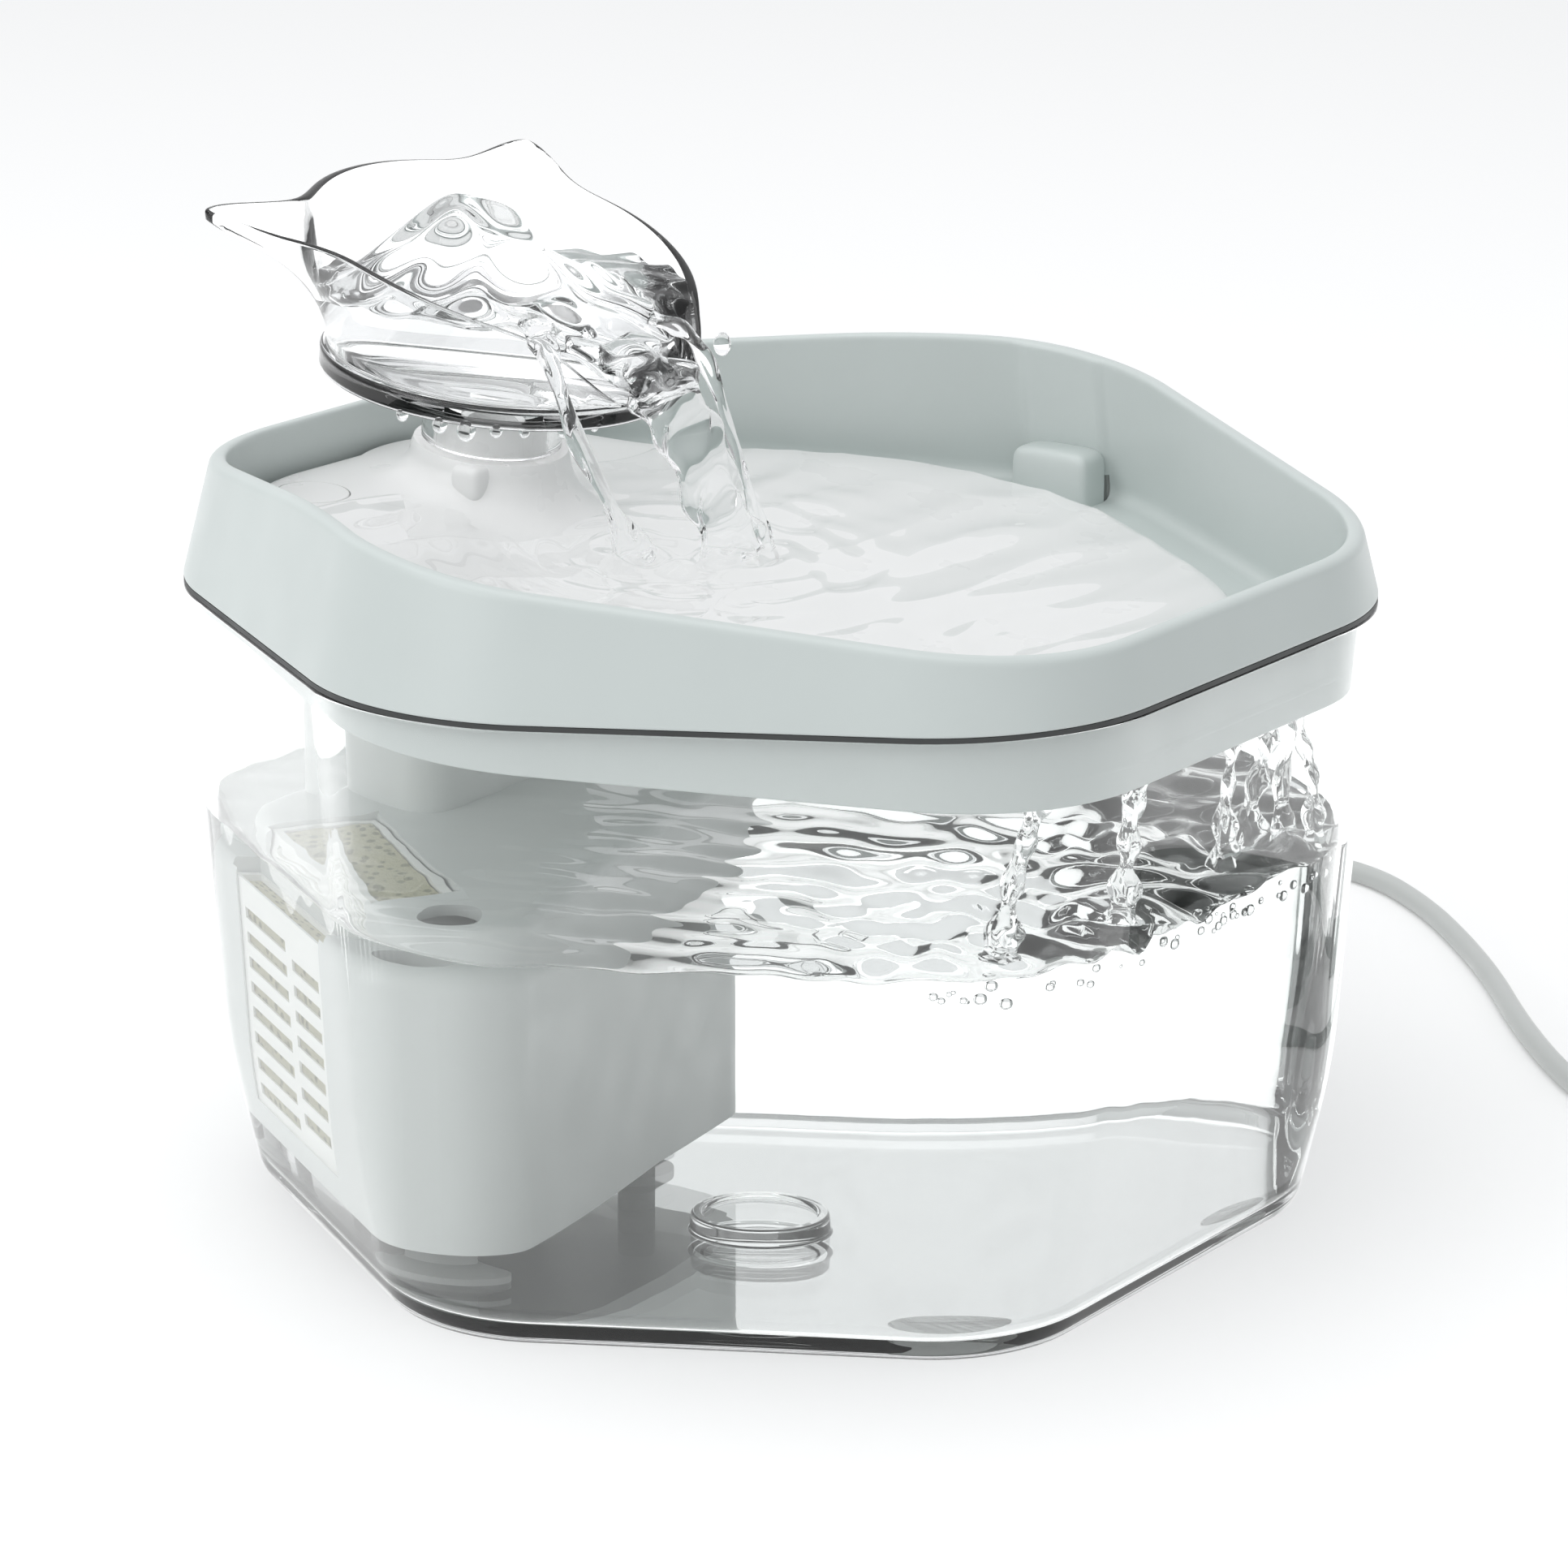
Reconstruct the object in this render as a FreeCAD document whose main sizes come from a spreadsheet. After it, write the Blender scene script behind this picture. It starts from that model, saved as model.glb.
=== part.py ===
# Pet water fountain: a clear six-sided tank with a drinking tray on top, a tilted clear pour bowl
# over the tray, and a submerged pump housing with a slide-in filter cartridge.
# Frame: millimetres, +Z up, origin on the floor under the tank's centre. The low drinking edge
# faces -Y, the pour bowl stands towards +Y, and the cord leaves at +X.

import FreeCAD, Part
import Sketcher
import math
import os

from FreeCAD import Placement, Rotation, Vector

# Driving dimensions: alias, value in millimetres (angles in degrees), meaning. A value that starts
# with = follows the sizes that it names.
SIZES = [
    ("seam_height", 106.4, "floor to the seam between tank and tray"),
    ("seam_apothem", 90.93, "centre to a flat side at the seam, outside"),
    ("seam_corner", 42.0, "corner radius at the seam"),
    ("knee_height", 26.0, "where the tank's wall turns in towards its foot"),
    ("knee_lean", 5.53, "flat side at the knee inside the one at the seam"),
    ("knee_apothem", "=seam_apothem - knee_lean", "centre to a flat side at the knee"),
    ("knee_corner", 33.0, "corner radius at the knee"),
    ("base_lean", 5.4, "flat side at the underside inside the one at the knee"),
    ("base_apothem", "=knee_apothem - base_lean", "centre to a flat side at the underside"),
    ("base_corner", 27.0, "corner radius at the underside"),
    ("foot_height", 1.5, "rubber foot"),
    ("foot_radius", 8.0, "rubber foot"),
    ("foot_inset", 14.0, "centre of a foot inside the underside's flat sides"),
    ("foot_circle", "=base_apothem - foot_inset", "centre of the tank to the centre of a foot"),
    ("tank_wall", 2.6, "clear wall"),
    ("tank_floor", 3.2, "clear floor"),
    ("boss_radius", 11.5, "round boss on the tank's floor"),
    ("boss_height", 2.5, "round boss on the tank's floor"),
    ("gasket_thickness", 0.8, "dark seal ring in the seam"),
    ("tray_height", 26.0, "seam to the top of the uncut tray wall"),
    ("tray_lean", 6.33, "flat side at the top of the uncut tray wall inside the one at the seam"),
    ("tray_apothem", "=seam_apothem - tray_lean", "centre to a flat side at the top of the uncut tray wall"),
    ("tray_corner", 38.0, "corner radius at the top of the uncut tray wall"),
    ("tray_wall", 2.8, "tray wall"),
    ("ledge_thickness", 2.0, "ledge of the tray that rests on the tank"),
    ("skirt_depth", 14.0, "deepest point of the inner skirt below the seam"),
    ("skirt_least", 4.0, "inner skirt below the seam at the back"),
    ("skirt_wall", 2.2, "inner skirt"),
    ("skirt_gap", 0.4, "clearance between the skirt and the tank"),
    ("rim_front", 10.0, "rim above the seam along the drinking edge"),
    ("rim_front_y", -88.0, "where the rim starts to climb"),
    ("rim_crest", 24.2, "virtual crest of the rim above the seam"),
    ("rim_crest_y", 22.0, "place of the virtual crest"),
    ("rim_crest_radius", 150.0, "rounding of the crest"),
    ("rim_back", 18.4, "rim above the seam at the back"),
    ("deck_slope", 4.0, "fall of the deck towards the drinking edge, degrees"),
    ("deck_drop", 2.0, "deck below the seam at the tank's centre"),
    ("deck_rise", 3.0, "deck above the drain channel"),
    ("plate_thickness", 2.2, "bottom of the drain channel"),
    ("deck_margin", 12.43, "deck's flat sides inside the tank's at the seam"),
    ("deck_apothem", "=seam_apothem - deck_margin", "centre of the deck to a flat side"),
    ("deck_shift", 6.0, "deck's own centre behind the tank's centre"),
    ("deck_corner", 38.0, "back corners of the deck"),
    ("deck_front_corner", 58.0, "side and front corners of the deck"),
    ("drain_half", 40.0, "half length of the drain slot before the deck's front edge"),
    ("drain_width", 8.0, "drain slot"),
    ("drain_gap", 1.4, "deck to the drain slot"),
    ("bowl_inset", 32.13, "pour bowl's base centre before the tank's back side"),
    ("bowl_y", "=seam_apothem - bowl_inset", "pour bowl's base centre behind the tank's centre"),
    ("bowl_lift", 26.0, "pour bowl's base centre above the seam"),
    ("bowl_tilt", 7.5, "tilt of the pour bowl's axis towards the front, degrees"),
    ("bowl_ring_radius", 30.3, "ring round the bowl's base"),
    ("bowl_ring_height", 4.0, "ring round the bowl's base"),
    ("bowl_base_radius", 28.8, "bowl wall just above the ring"),
    ("bowl_top_radius", 35.6, "bowl wall at the rim, without ears and spout"),
    ("bowl_height", 32.0, "bowl before the rim is cut"),
    ("bowl_wall", 1.6, "clear wall of the bowl"),
    ("bowl_floor", 2.0, "clear floor of the bowl"),
    ("ear_reach", 15.5, "ear tip beyond the bowl wall"),
    ("ear_angle", 35.0, "ear direction from the +X side, degrees"),
    ("ear_width", 11.0, "half width of an ear, degrees"),
    ("spout_reach", 6.4, "spout lip beyond the bowl wall"),
    ("spout_width", 30.0, "half width of the spout, degrees"),
    ("collar_radius", 12.0, "collar under the bowl, outside"),
    ("collar_depth", 11.4, "collar under the bowl"),
    ("spigot_radius", 9.4, "spigot of the riser cone inside the collar"),
    ("spigot_gap", 0.45, "clearance between spigot and collar"),
    ("seal_groove", 0.9, "depth of the groove for the seal ring"),
    ("seal_low", 6.1, "seal ring's underside below the bowl's base"),
    ("seal_height", 1.6, "seal ring"),
    ("cone_radius", 21.0, "foot of the riser cone on the deck"),
    ("cone_height", 12.5, "riser cone below the collar"),
    ("nozzle_radius", 4.5, "water way through the spigot"),
    ("tube_radius", 6.4, "riser tube, outside"),
    ("tube_wall", 1.4, "riser tube"),
    ("tube_gap", 0.4, "clearance round the riser tube"),
    ("tab_width", 6.4, "tab in front of the riser cone"),
    ("tab_reach", 3.4, "tab in front of the collar"),
    ("plug_radius", 6.2, "flush plug in the deck"),
    ("plug_depth", 1.6, "flush plug in the deck"),
    ("plug_left", 31.0, "flush plug left of the riser"),
    ("plug_behind", 14.7, "flush plug behind the riser"),
    ("duct_width", 16.0, "cord duct on the tray's inner wall"),
    ("duct_shift", 4.0, "cord duct's middle towards the back"),
    ("duct_depth", 6.0, "cord duct across the tray's wall"),
    ("duct_inset", 7.0, "cord duct's outer face inside the tray's corner"),
    ("housing_floor", 13.0, "pump housing above the floor"),
    ("housing_top", 60.0, "top of the pump housing"),
    ("housing_wall", 2.0, "pump housing"),
    ("housing_right", 38.0, "housing's right side from the middle plane"),
    ("housing_front", 28.0, "housing's front behind the centre, at its right end"),
    ("housing_back_inset", 8.9, "housing's back before the tank's knee"),
    ("housing_back", "=knee_apothem - housing_back_inset", "housing's back behind the centre"),
    ("housing_nose_inset", 14.4, "housing's front left corner inside the tank's knee"),
    ("housing_nose_x", "=knee_apothem - housing_nose_inset", "housing's front left corner from the middle plane"),
    ("housing_nose_y", 1.0, "housing's front left corner in front of the centre"),
    ("housing_side_gap", 1.5, "housing's filter side beyond the basket's face"),
    ("housing_side_end", 28.0, "front end of the housing's filter side"),
    ("housing_corner", 14.0, "rounding of the housing's right corners"),
    ("housing_edge", 4.0, "rounding of the housing's top edge"),
    ("tower_top", 84.0, "top of the riser tower on the housing"),
    ("tower_left", 33.0, "riser tower's left side from the riser"),
    ("tower_right", 16.0, "riser tower's right side from the riser"),
    ("tower_front", 10.0, "riser tower's front before the riser"),
    ("tower_corner", 7.0, "rounding of the riser tower"),
    ("base_plate", 2.4, "base plate of the housing"),
    ("suction_radius", 6.5, "suction foot of the housing"),
    ("filter_inset", 9.4, "outer face of the filter basket inside the tank's knee"),
    ("filter_distance", "=knee_apothem - filter_inset", "outer face of the filter basket from the tank's centre"),
    ("filter_thickness", 14.5, "filter basket"),
    ("filter_width", 44.0, "filter basket"),
    ("filter_offset", 10.0, "filter basket's shift along its side, towards the back"),
    ("filter_height", 41.0, "filter basket"),
    ("basket_wall", 1.5, "filter basket"),
    ("slot_height", 2.0, "slot in the filter basket"),
    ("slot_pitch", 4.4, "spacing of the slots"),
    ("slot_count", 8, "rows of slots in a column"),
    ("filter_gap", 0.5, "clearance round the filter basket"),
    ("port_radius", 5.2, "round port in the housing's top"),
    ("port_inset", 9.0, "port inside the basket's outer face"),
    ("port_along", 24.0, "port along the filter's side"),
    ("pump_height", 30.0, "pump axis above the floor"),
    ("motor_length", 23.0, "motor block along X"),
    ("motor_half", 12.0, "half width of the motor block"),
    ("chamber_radius", 11.0, "impeller chamber, outside"),
    ("chamber_half", 8.0, "half length of the impeller chamber"),
    ("chamber_wall", 1.6, "impeller chamber"),
    ("rotor_radius", 4.6, "magnet of the rotor"),
    ("rotor_gap", 0.5, "clearance round the rotor and the vanes"),
    ("shaft_radius", 1.0, "ceramic shaft"),
    ("shaft_gap", 0.05, "running clearance on the shaft"),
    ("vane_thickness", 1.2, "vane of the impeller"),
    ("bush_length", 1.8, "bush of the shaft"),
    ("bush_radius", 2.6, "bush of the shaft"),
    ("cover_thickness", 1.8, "impeller cover"),
    ("adjuster_thickness", 1.3, "flow adjuster on the cover"),
    ("foam_thickness", 8.7, "foam before the intake"),
    ("foam_width", 22.0, "foam before the intake"),
    ("cord_radius", 2.0, "cord"),
    ("cord_drop", 13.9, "cord below the seam where it leaves the tank"),
    ("cord_exit_height", "=seam_height - cord_drop", "cord above the floor where it leaves the tank"),
    ("gland_width", 7.0, "rubber gland in the tank's rim"),
    ("coil_radius", 20.0, "outer turn of the coiled cord, centre line"),
    ("coil_step", 4.6, "spacing of the coil's turns and layers"),
    ("grip_length", 20.0, "grip of the plug"),
    ("grip_width", 15.0, "grip of the plug"),
    ("grip_height", 7.5, "grip of the plug"),
    ("grip_edge", 2.2, "rounding of the grip"),
    ("contact_length", 12.0, "metal shell of the plug"),
    ("contact_width", 12.0, "metal shell of the plug"),
    ("contact_height", 4.5, "metal shell of the plug"),
    ("contact_wall", 0.4, "metal shell of the plug"),
    ("tongue_thickness", 1.7, "tongue inside the plug's shell"),
]

doc = FreeCAD.newDocument("PetWaterFountain")
sheet = doc.addObject("Spreadsheet::Sheet", "Sizes")
for row, (alias, number, meaning) in enumerate(SIZES, start=1):
    sheet.set(f"A{row}", alias)
    sheet.set(f"B{row}", str(number))
    sheet.setAlias(f"B{row}", alias)
    sheet.set(f"C{row}", meaning)
doc.recompute()

ALIASES = sorted((alias for alias, _, _ in SIZES), key=len, reverse=True)
SKETCH_ORIGIN = {"point": -1, "H": -1, "V": -2}


def full(expression):
    """The expression with each alias written as the sheet's cell."""
    words = []
    word = ""
    for letter in str(expression) + " ":
        if letter.isalnum() or letter == "_":
            word += letter
            continue
        words.append(f"Sizes.{word}" if word in ALIASES else word)
        words.append(letter)
        word = ""
    return "".join(words).strip()


def size(expression):
    """The number that an expression of sheet aliases gives now."""
    found = sheet.evalExpression(full(expression))
    return float(getattr(found, "Value", found))


def bind(thing, prop, expression):
    """Bind a property to the sheet."""
    thing.setExpression(prop, full(expression))


def origin_plane(body, role):
    return next(f for f in body.Origin.OriginFeatures if f.Role == role)


def new_body(name):
    body = doc.addObject("PartDesign::Body", name)
    body.Label = name
    return body


def outline(body, name, plane, corners, level="0"):
    """A closed sketch on one of the body's origin planes, level above it along its normal.

    Each corner is (x, y) for a sharp corner or (x, y, radius) for a rounded one, as expressions.
    """
    sketch = body.newObject("Sketcher::SketchObject", name)
    sketch.AttachmentSupport = [(origin_plane(body, plane), "")]
    sketch.MapMode = "FlatFace"
    sketch.AttachmentOffset = Placement(Vector(0, 0, size(level)), Rotation())
    bind(sketch, "AttachmentOffset.Base.z", level)
    places = [Vector(size(c[0]), size(c[1]), 0) for c in corners]
    radii = [size(c[2]) if len(c) > 2 else 0.0 for c in corners]
    count = len(corners)
    turn = sum(
        places[i].x * places[(i + 1) % count].y - places[(i + 1) % count].x * places[i].y
        for i in range(count)
    )
    way = 1.0 if turn > 0 else -1.0

    def cut_back(i):
        """The two tangent points and the centre of corner i."""
        here = places[i]
        back = (places[i - 1] - here).normalize()
        ahead = (places[(i + 1) % count] - here).normalize()
        half = back.getAngle(ahead) / 2
        reach = radii[i] / math.tan(half)
        middle = (back + ahead).normalize()
        return here + back * reach, here + ahead * reach, here + middle * (radii[i] / math.sin(half))

    ends = [cut_back(i) if radii[i] else (places[i], places[i], None) for i in range(count)]
    lines = []
    for i in range(count):
        following = (i + 1) % count
        lines.append(sketch.addGeometry(Part.LineSegment(ends[i][1], ends[following][0])))

    def pin(geometry, point, x, y):
        for kind, axis, text in (("DistanceX", SKETCH_ORIGIN["V"], x), ("DistanceY", SKETCH_ORIGIN["H"], y)):
            if abs(size(text)) < 1e-9:
                sketch.addConstraint(Sketcher.Constraint("PointOnObject", geometry, point, axis))
                continue
            rule = Sketcher.Constraint(kind, SKETCH_ORIGIN["point"], 1, geometry, point, size(text))
            number = sketch.addConstraint(rule)
            sketch.setExpression(f"Constraints[{number}]", full(text))

    for i in range(count):
        before, after = lines[i - 1], lines[i]
        if not radii[i]:
            sketch.addConstraint(Sketcher.Constraint("Coincident", before, 2, after, 1))
            pin(after, 1, corners[i][0], corners[i][1])
            continue
        start, end, centre = ends[i]
        first = math.atan2(start.y - centre.y, start.x - centre.x)
        last = math.atan2(end.y - centre.y, end.x - centre.x)
        convex = way * ((start - places[i]).cross(end - places[i])).z < 0
        forward = convex == (way > 0)
        angles = (first, last) if forward else (last, first)
        circle = Part.Circle(centre, Vector(0, 0, 1), radii[i])
        arc = sketch.addGeometry(Part.ArcOfCircle(circle, *angles))
        arc_start, arc_end = (1, 2) if forward else (2, 1)
        sketch.addConstraint(Sketcher.Constraint("Tangent", before, 2, arc, arc_start))
        sketch.addConstraint(Sketcher.Constraint("Tangent", arc, arc_end, after, 1))
        rule = sketch.addConstraint(Sketcher.Constraint("Radius", arc, radii[i]))
        sketch.setExpression(f"Constraints[{rule}]", full(corners[i][2]))
        mark = sketch.addGeometry(Part.Point(places[i]), True)
        pin(mark, 1, corners[i][0], corners[i][1])
        sketch.addConstraint(Sketcher.Constraint("PointOnObject", mark, 1, before))
        sketch.addConstraint(Sketcher.Constraint("PointOnObject", mark, 1, after))
    sketch.Visibility = False
    return sketch


def disc(body, name, plane, radius, level="0", x="0", y="0"):
    """A circle sketch on one of the body's origin planes."""
    sketch = body.newObject("Sketcher::SketchObject", name)
    sketch.AttachmentSupport = [(origin_plane(body, plane), "")]
    sketch.MapMode = "FlatFace"
    sketch.AttachmentOffset = Placement(Vector(0, 0, size(level)), Rotation())
    bind(sketch, "AttachmentOffset.Base.z", level)
    centre = Vector(size(x), size(y), 0)
    circle = sketch.addGeometry(Part.Circle(centre, Vector(0, 0, 1), size(radius)))
    rule = sketch.addConstraint(Sketcher.Constraint("Radius", circle, size(radius)))
    sketch.setExpression(f"Constraints[{rule}]", full(radius))
    for kind, axis, text in (("DistanceX", SKETCH_ORIGIN["V"], x), ("DistanceY", SKETCH_ORIGIN["H"], y)):
        if abs(size(text)) < 1e-9:
            sketch.addConstraint(Sketcher.Constraint("PointOnObject", circle, 3, axis))
            continue
        number = sketch.addConstraint(
            Sketcher.Constraint(kind, SKETCH_ORIGIN["point"], 1, circle, 3, size(text))
        )
        sketch.setExpression(f"Constraints[{number}]", full(text))
    return sketch


def hexagon(apothem, corner, front_corner=None):
    """Corner list of a regular hexagon with corners on +X and -X."""
    corners = []
    for k in range(6):
        across = f"({apothem}) / cos(30 deg)"
        radius = front_corner if front_corner and k not in (1, 2) else corner
        y = "0" if k in (0, 3) else f"{across} * sin({60 * k} deg)"
        corners.append((f"{across} * cos({60 * k} deg)", y, radius))
    return corners


def vertex(apothem, corner):
    """Distance from the centre to the rounded vertex of such a hexagon."""
    return f"(({apothem}) / cos(30 deg) - ({corner}) * (1 / cos(30 deg) - 1))"


def loft(body, name, sections, cut=False):
    """A ruled loft through hexagon sections (level, apothem, corner)."""
    kind = "PartDesign::SubtractiveLoft" if cut else "PartDesign::AdditiveLoft"
    profiles = [
        outline(body, f"{name}_section_{i}", "XY_Plane", hexagon(apothem, corner), level)
        for i, (level, apothem, corner) in enumerate(sections)
    ]
    feature = body.newObject(kind, name)
    feature.Profile = profiles[0]
    feature.Sections = profiles[1:]
    feature.Ruled = True
    return feature


def pad(body, name, sketch, length, cut=False, middle=False, reverse=False):
    """A pad or pocket of a sketch."""
    feature = body.newObject("PartDesign::Pocket" if cut else "PartDesign::Pad", name)
    feature.Profile = sketch
    feature.Length = size(length)
    bind(feature, "Length", length)
    if middle:
        feature.Midplane = True
    feature.Reversed = reverse
    return feature


def turned(name, profile, cut_profiles=()):
    """A body turned about its own Z axis from (radius, height) corners, with turned cuts."""
    body = new_body(name)
    for kind, corners in [("PartDesign::Revolution", profile)] + [
        ("PartDesign::Groove", cut) for cut in cut_profiles
    ]:
        sketch = outline(body, f"{name}_profile", "XZ_Plane", corners)
        feature = body.newObject(kind, f"{name}_turn")
        feature.Profile = sketch
        feature.ReferenceAxis = (sketch, ["V_Axis"])
        feature.Angle = 360
    return body


def place(thing, x="0", y="0", z="0", axis=Vector(0, 0, 1), angle="0"):
    """Place an object by expressions."""
    thing.Placement = Placement(Vector(size(x), size(y), size(z)), Rotation(axis, size(angle)))
    for prop, text in (("x", x), ("y", y), ("z", z)):
        bind(thing, f"Placement.Base.{prop}", text)
    if abs(size(angle)) > 1e-9:
        bind(thing, "Placement.Rotation.Angle", angle)
    return thing


def box(name, x, y, z, angle="0"):
    """A Part box from (low, high) expressions; with an angle it is turned about the Z axis."""
    thing = doc.addObject("Part::Box", name)
    for prop, (low, high) in (("Length", x), ("Width", y), ("Height", z)):
        setattr(thing, prop, size(f"({high}) - ({low})"))
        bind(thing, prop, f"({high}) - ({low})")
    base_x = f"({x[0]}) * cos({angle} deg) - ({y[0]}) * sin({angle} deg)"
    base_y = f"({x[0]}) * sin({angle} deg) + ({y[0]}) * cos({angle} deg)"
    return place(thing, base_x, base_y, z[0], Vector(0, 0, 1), angle)


def cylinder(name, radius, height, x="0", y="0", z="0", axis=Vector(0, 0, 1), angle="0"):
    thing = doc.addObject("Part::Cylinder", name)
    thing.Radius = size(radius)
    thing.Height = size(height)
    bind(thing, "Radius", radius)
    bind(thing, "Height", height)
    return place(thing, x, y, z, axis, angle)


def along_x(name, radius, start, end, y, z):
    """A cylinder from start to end along X."""
    return cylinder(name, radius, f"({end}) - ({start})", start, y, z, Vector(0, 1, 0), "90")


def fuse(name, *things):
    made = doc.addObject("Part::MultiFuse", name)
    made.Shapes = list(things)
    made.Refine = True
    return made


def cut(name, base, *tools):
    made = doc.addObject("Part::Cut", name)
    made.Base = base
    made.Tool = tools[0] if len(tools) == 1 else fuse(f"{name}_tools", *tools)
    made.Refine = True
    return made


def common(name, first, second):
    made = doc.addObject("Part::MultiCommon", name)
    made.Shapes = [first, second]
    made.Refine = True
    return made


def group(name, *things):
    made = doc.addObject("Part::Compound", name)
    made.Links = list(things)
    return made


TANK_TOP = "(seam_height - gasket_thickness)"
TANK_INSIDE = "(seam_apothem - tank_wall)"
SKIRT = "(seam_apothem - tank_wall - skirt_gap)"
LEAN = "((seam_apothem - knee_apothem) / (seam_height - knee_height))"
FLOOR_TOP = "(foot_height + tank_floor)"
FLOOR_SHARE = "(tank_floor / (knee_height - foot_height))"
NODES = []


def keep(thing, name):
    """Name a finished sub-part's node."""
    thing.Label = name
    NODES.append(thing)
    return thing


def make_tank():
    """Clear tank: six flat leaning walls, a turned-in foot, a round boss and a cord notch."""
    body = new_body("tank_shell")
    loft(body, "tank_outside", [
        ("foot_height", "base_apothem", "base_corner"),
        ("knee_height", "knee_apothem", "knee_corner"),
        (TANK_TOP, "seam_apothem", "seam_corner"),
    ])
    floor_apothem = f"base_apothem + (knee_apothem - base_apothem) * {FLOOR_SHARE} - tank_wall"
    floor_corner = f"base_corner + (knee_corner - base_corner) * {FLOOR_SHARE} - tank_wall"
    loft(body, "tank_inside", [
        (FLOOR_TOP, floor_apothem, floor_corner),
        ("knee_height", "knee_apothem - tank_wall", "knee_corner - tank_wall"),
        (TANK_TOP, TANK_INSIDE, "seam_corner - tank_wall"),
    ], cut=True)
    pad(body, "floor_boss", disc(body, "boss_circle", "XY_Plane", "boss_radius", FLOOR_TOP), "boss_height")
    notch = box("cord_notch", ("seam_apothem - tank_wall - 6", "seam_apothem + 20"),
                ("-gland_width / 2", "gland_width / 2"),
                ("cord_exit_height - gland_width / 2", "seam_height"))
    keep(cut("tank", body, notch), "water_tank")


def make_feet():
    feet = []
    for i, angle in enumerate((60, 120, 240, 300)):
        feet.append(cylinder(f"foot_{i}", "foot_radius", "foot_height",
                             f"foot_circle * cos({angle} deg)", f"foot_circle * sin({angle} deg)"))
    keep(group("feet", *feet), "tank_feet")


def make_gasket():
    body = new_body("rim_gasket")
    loft(body, "gasket_outside", [
        (TANK_TOP, "seam_apothem - 0.1", "seam_corner - 0.1"),
        ("seam_height", "seam_apothem - 0.1", "seam_corner - 0.1"),
    ])
    loft(body, "gasket_inside", [
        (TANK_TOP, TANK_INSIDE, "seam_corner - tank_wall"),
        ("seam_height", TANK_INSIDE, "seam_corner - tank_wall"),
    ], cut=True)
    keep(body, "rim_gasket")


def make_gland():
    """Rubber gland that fills the notch in the tank's rim and holds the cord."""
    inner = vertex(TANK_INSIDE, "seam_corner - tank_wall") + " - 2"
    outer = vertex("seam_apothem", "seam_corner") + " + 3"
    block = box("gland_block", (inner, outer), ("-gland_width / 2", "gland_width / 2"),
                ("cord_exit_height - gland_width / 2", TANK_TOP))
    bore = along_x("gland_bore", "cord_radius", f"{inner} - 1", f"{outer} + 1", "0", "cord_exit_height")
    keep(cut("gland", block, bore), "cord_gland")
    return size(inner), size(outer)


def tray_outside(level_text):
    """Apothem and corner of the tray's outside at a height above the seam."""
    apothem = f"(seam_apothem + (tray_apothem - seam_apothem) * ({level_text}) / tray_height)"
    corner = f"(seam_corner + (tray_corner - seam_corner) * ({level_text}) / tray_height)"
    return apothem, corner


def slab(name, low, high):
    """A wide flat plate that slopes with the deck, between two levels above the deck's surface."""
    body = new_body(name)
    reach = "seam_apothem * 1.4"
    corners = [(f"-{reach}", f"-{reach}"), (reach, f"-{reach}"), (reach, reach), (f"-{reach}", reach)]
    pad(body, f"{name}_pad", outline(body, f"{name}_sketch", "XY_Plane", corners, low), f"({high}) - ({low})")
    return place(body, "0", "0", "seam_height - deck_drop", Vector(1, 0, 0), "deck_slope")


def prism(name, apothem, corner, low, high, front_corner=None):
    """An upright prism on a rounded hexagon."""
    body = new_body(name)
    sketch = outline(body, f"{name}_sketch", "XY_Plane", hexagon(apothem, corner, front_corner), low)
    pad(body, f"{name}_pad", sketch, f"({high}) - ({low})")
    return body


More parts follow.
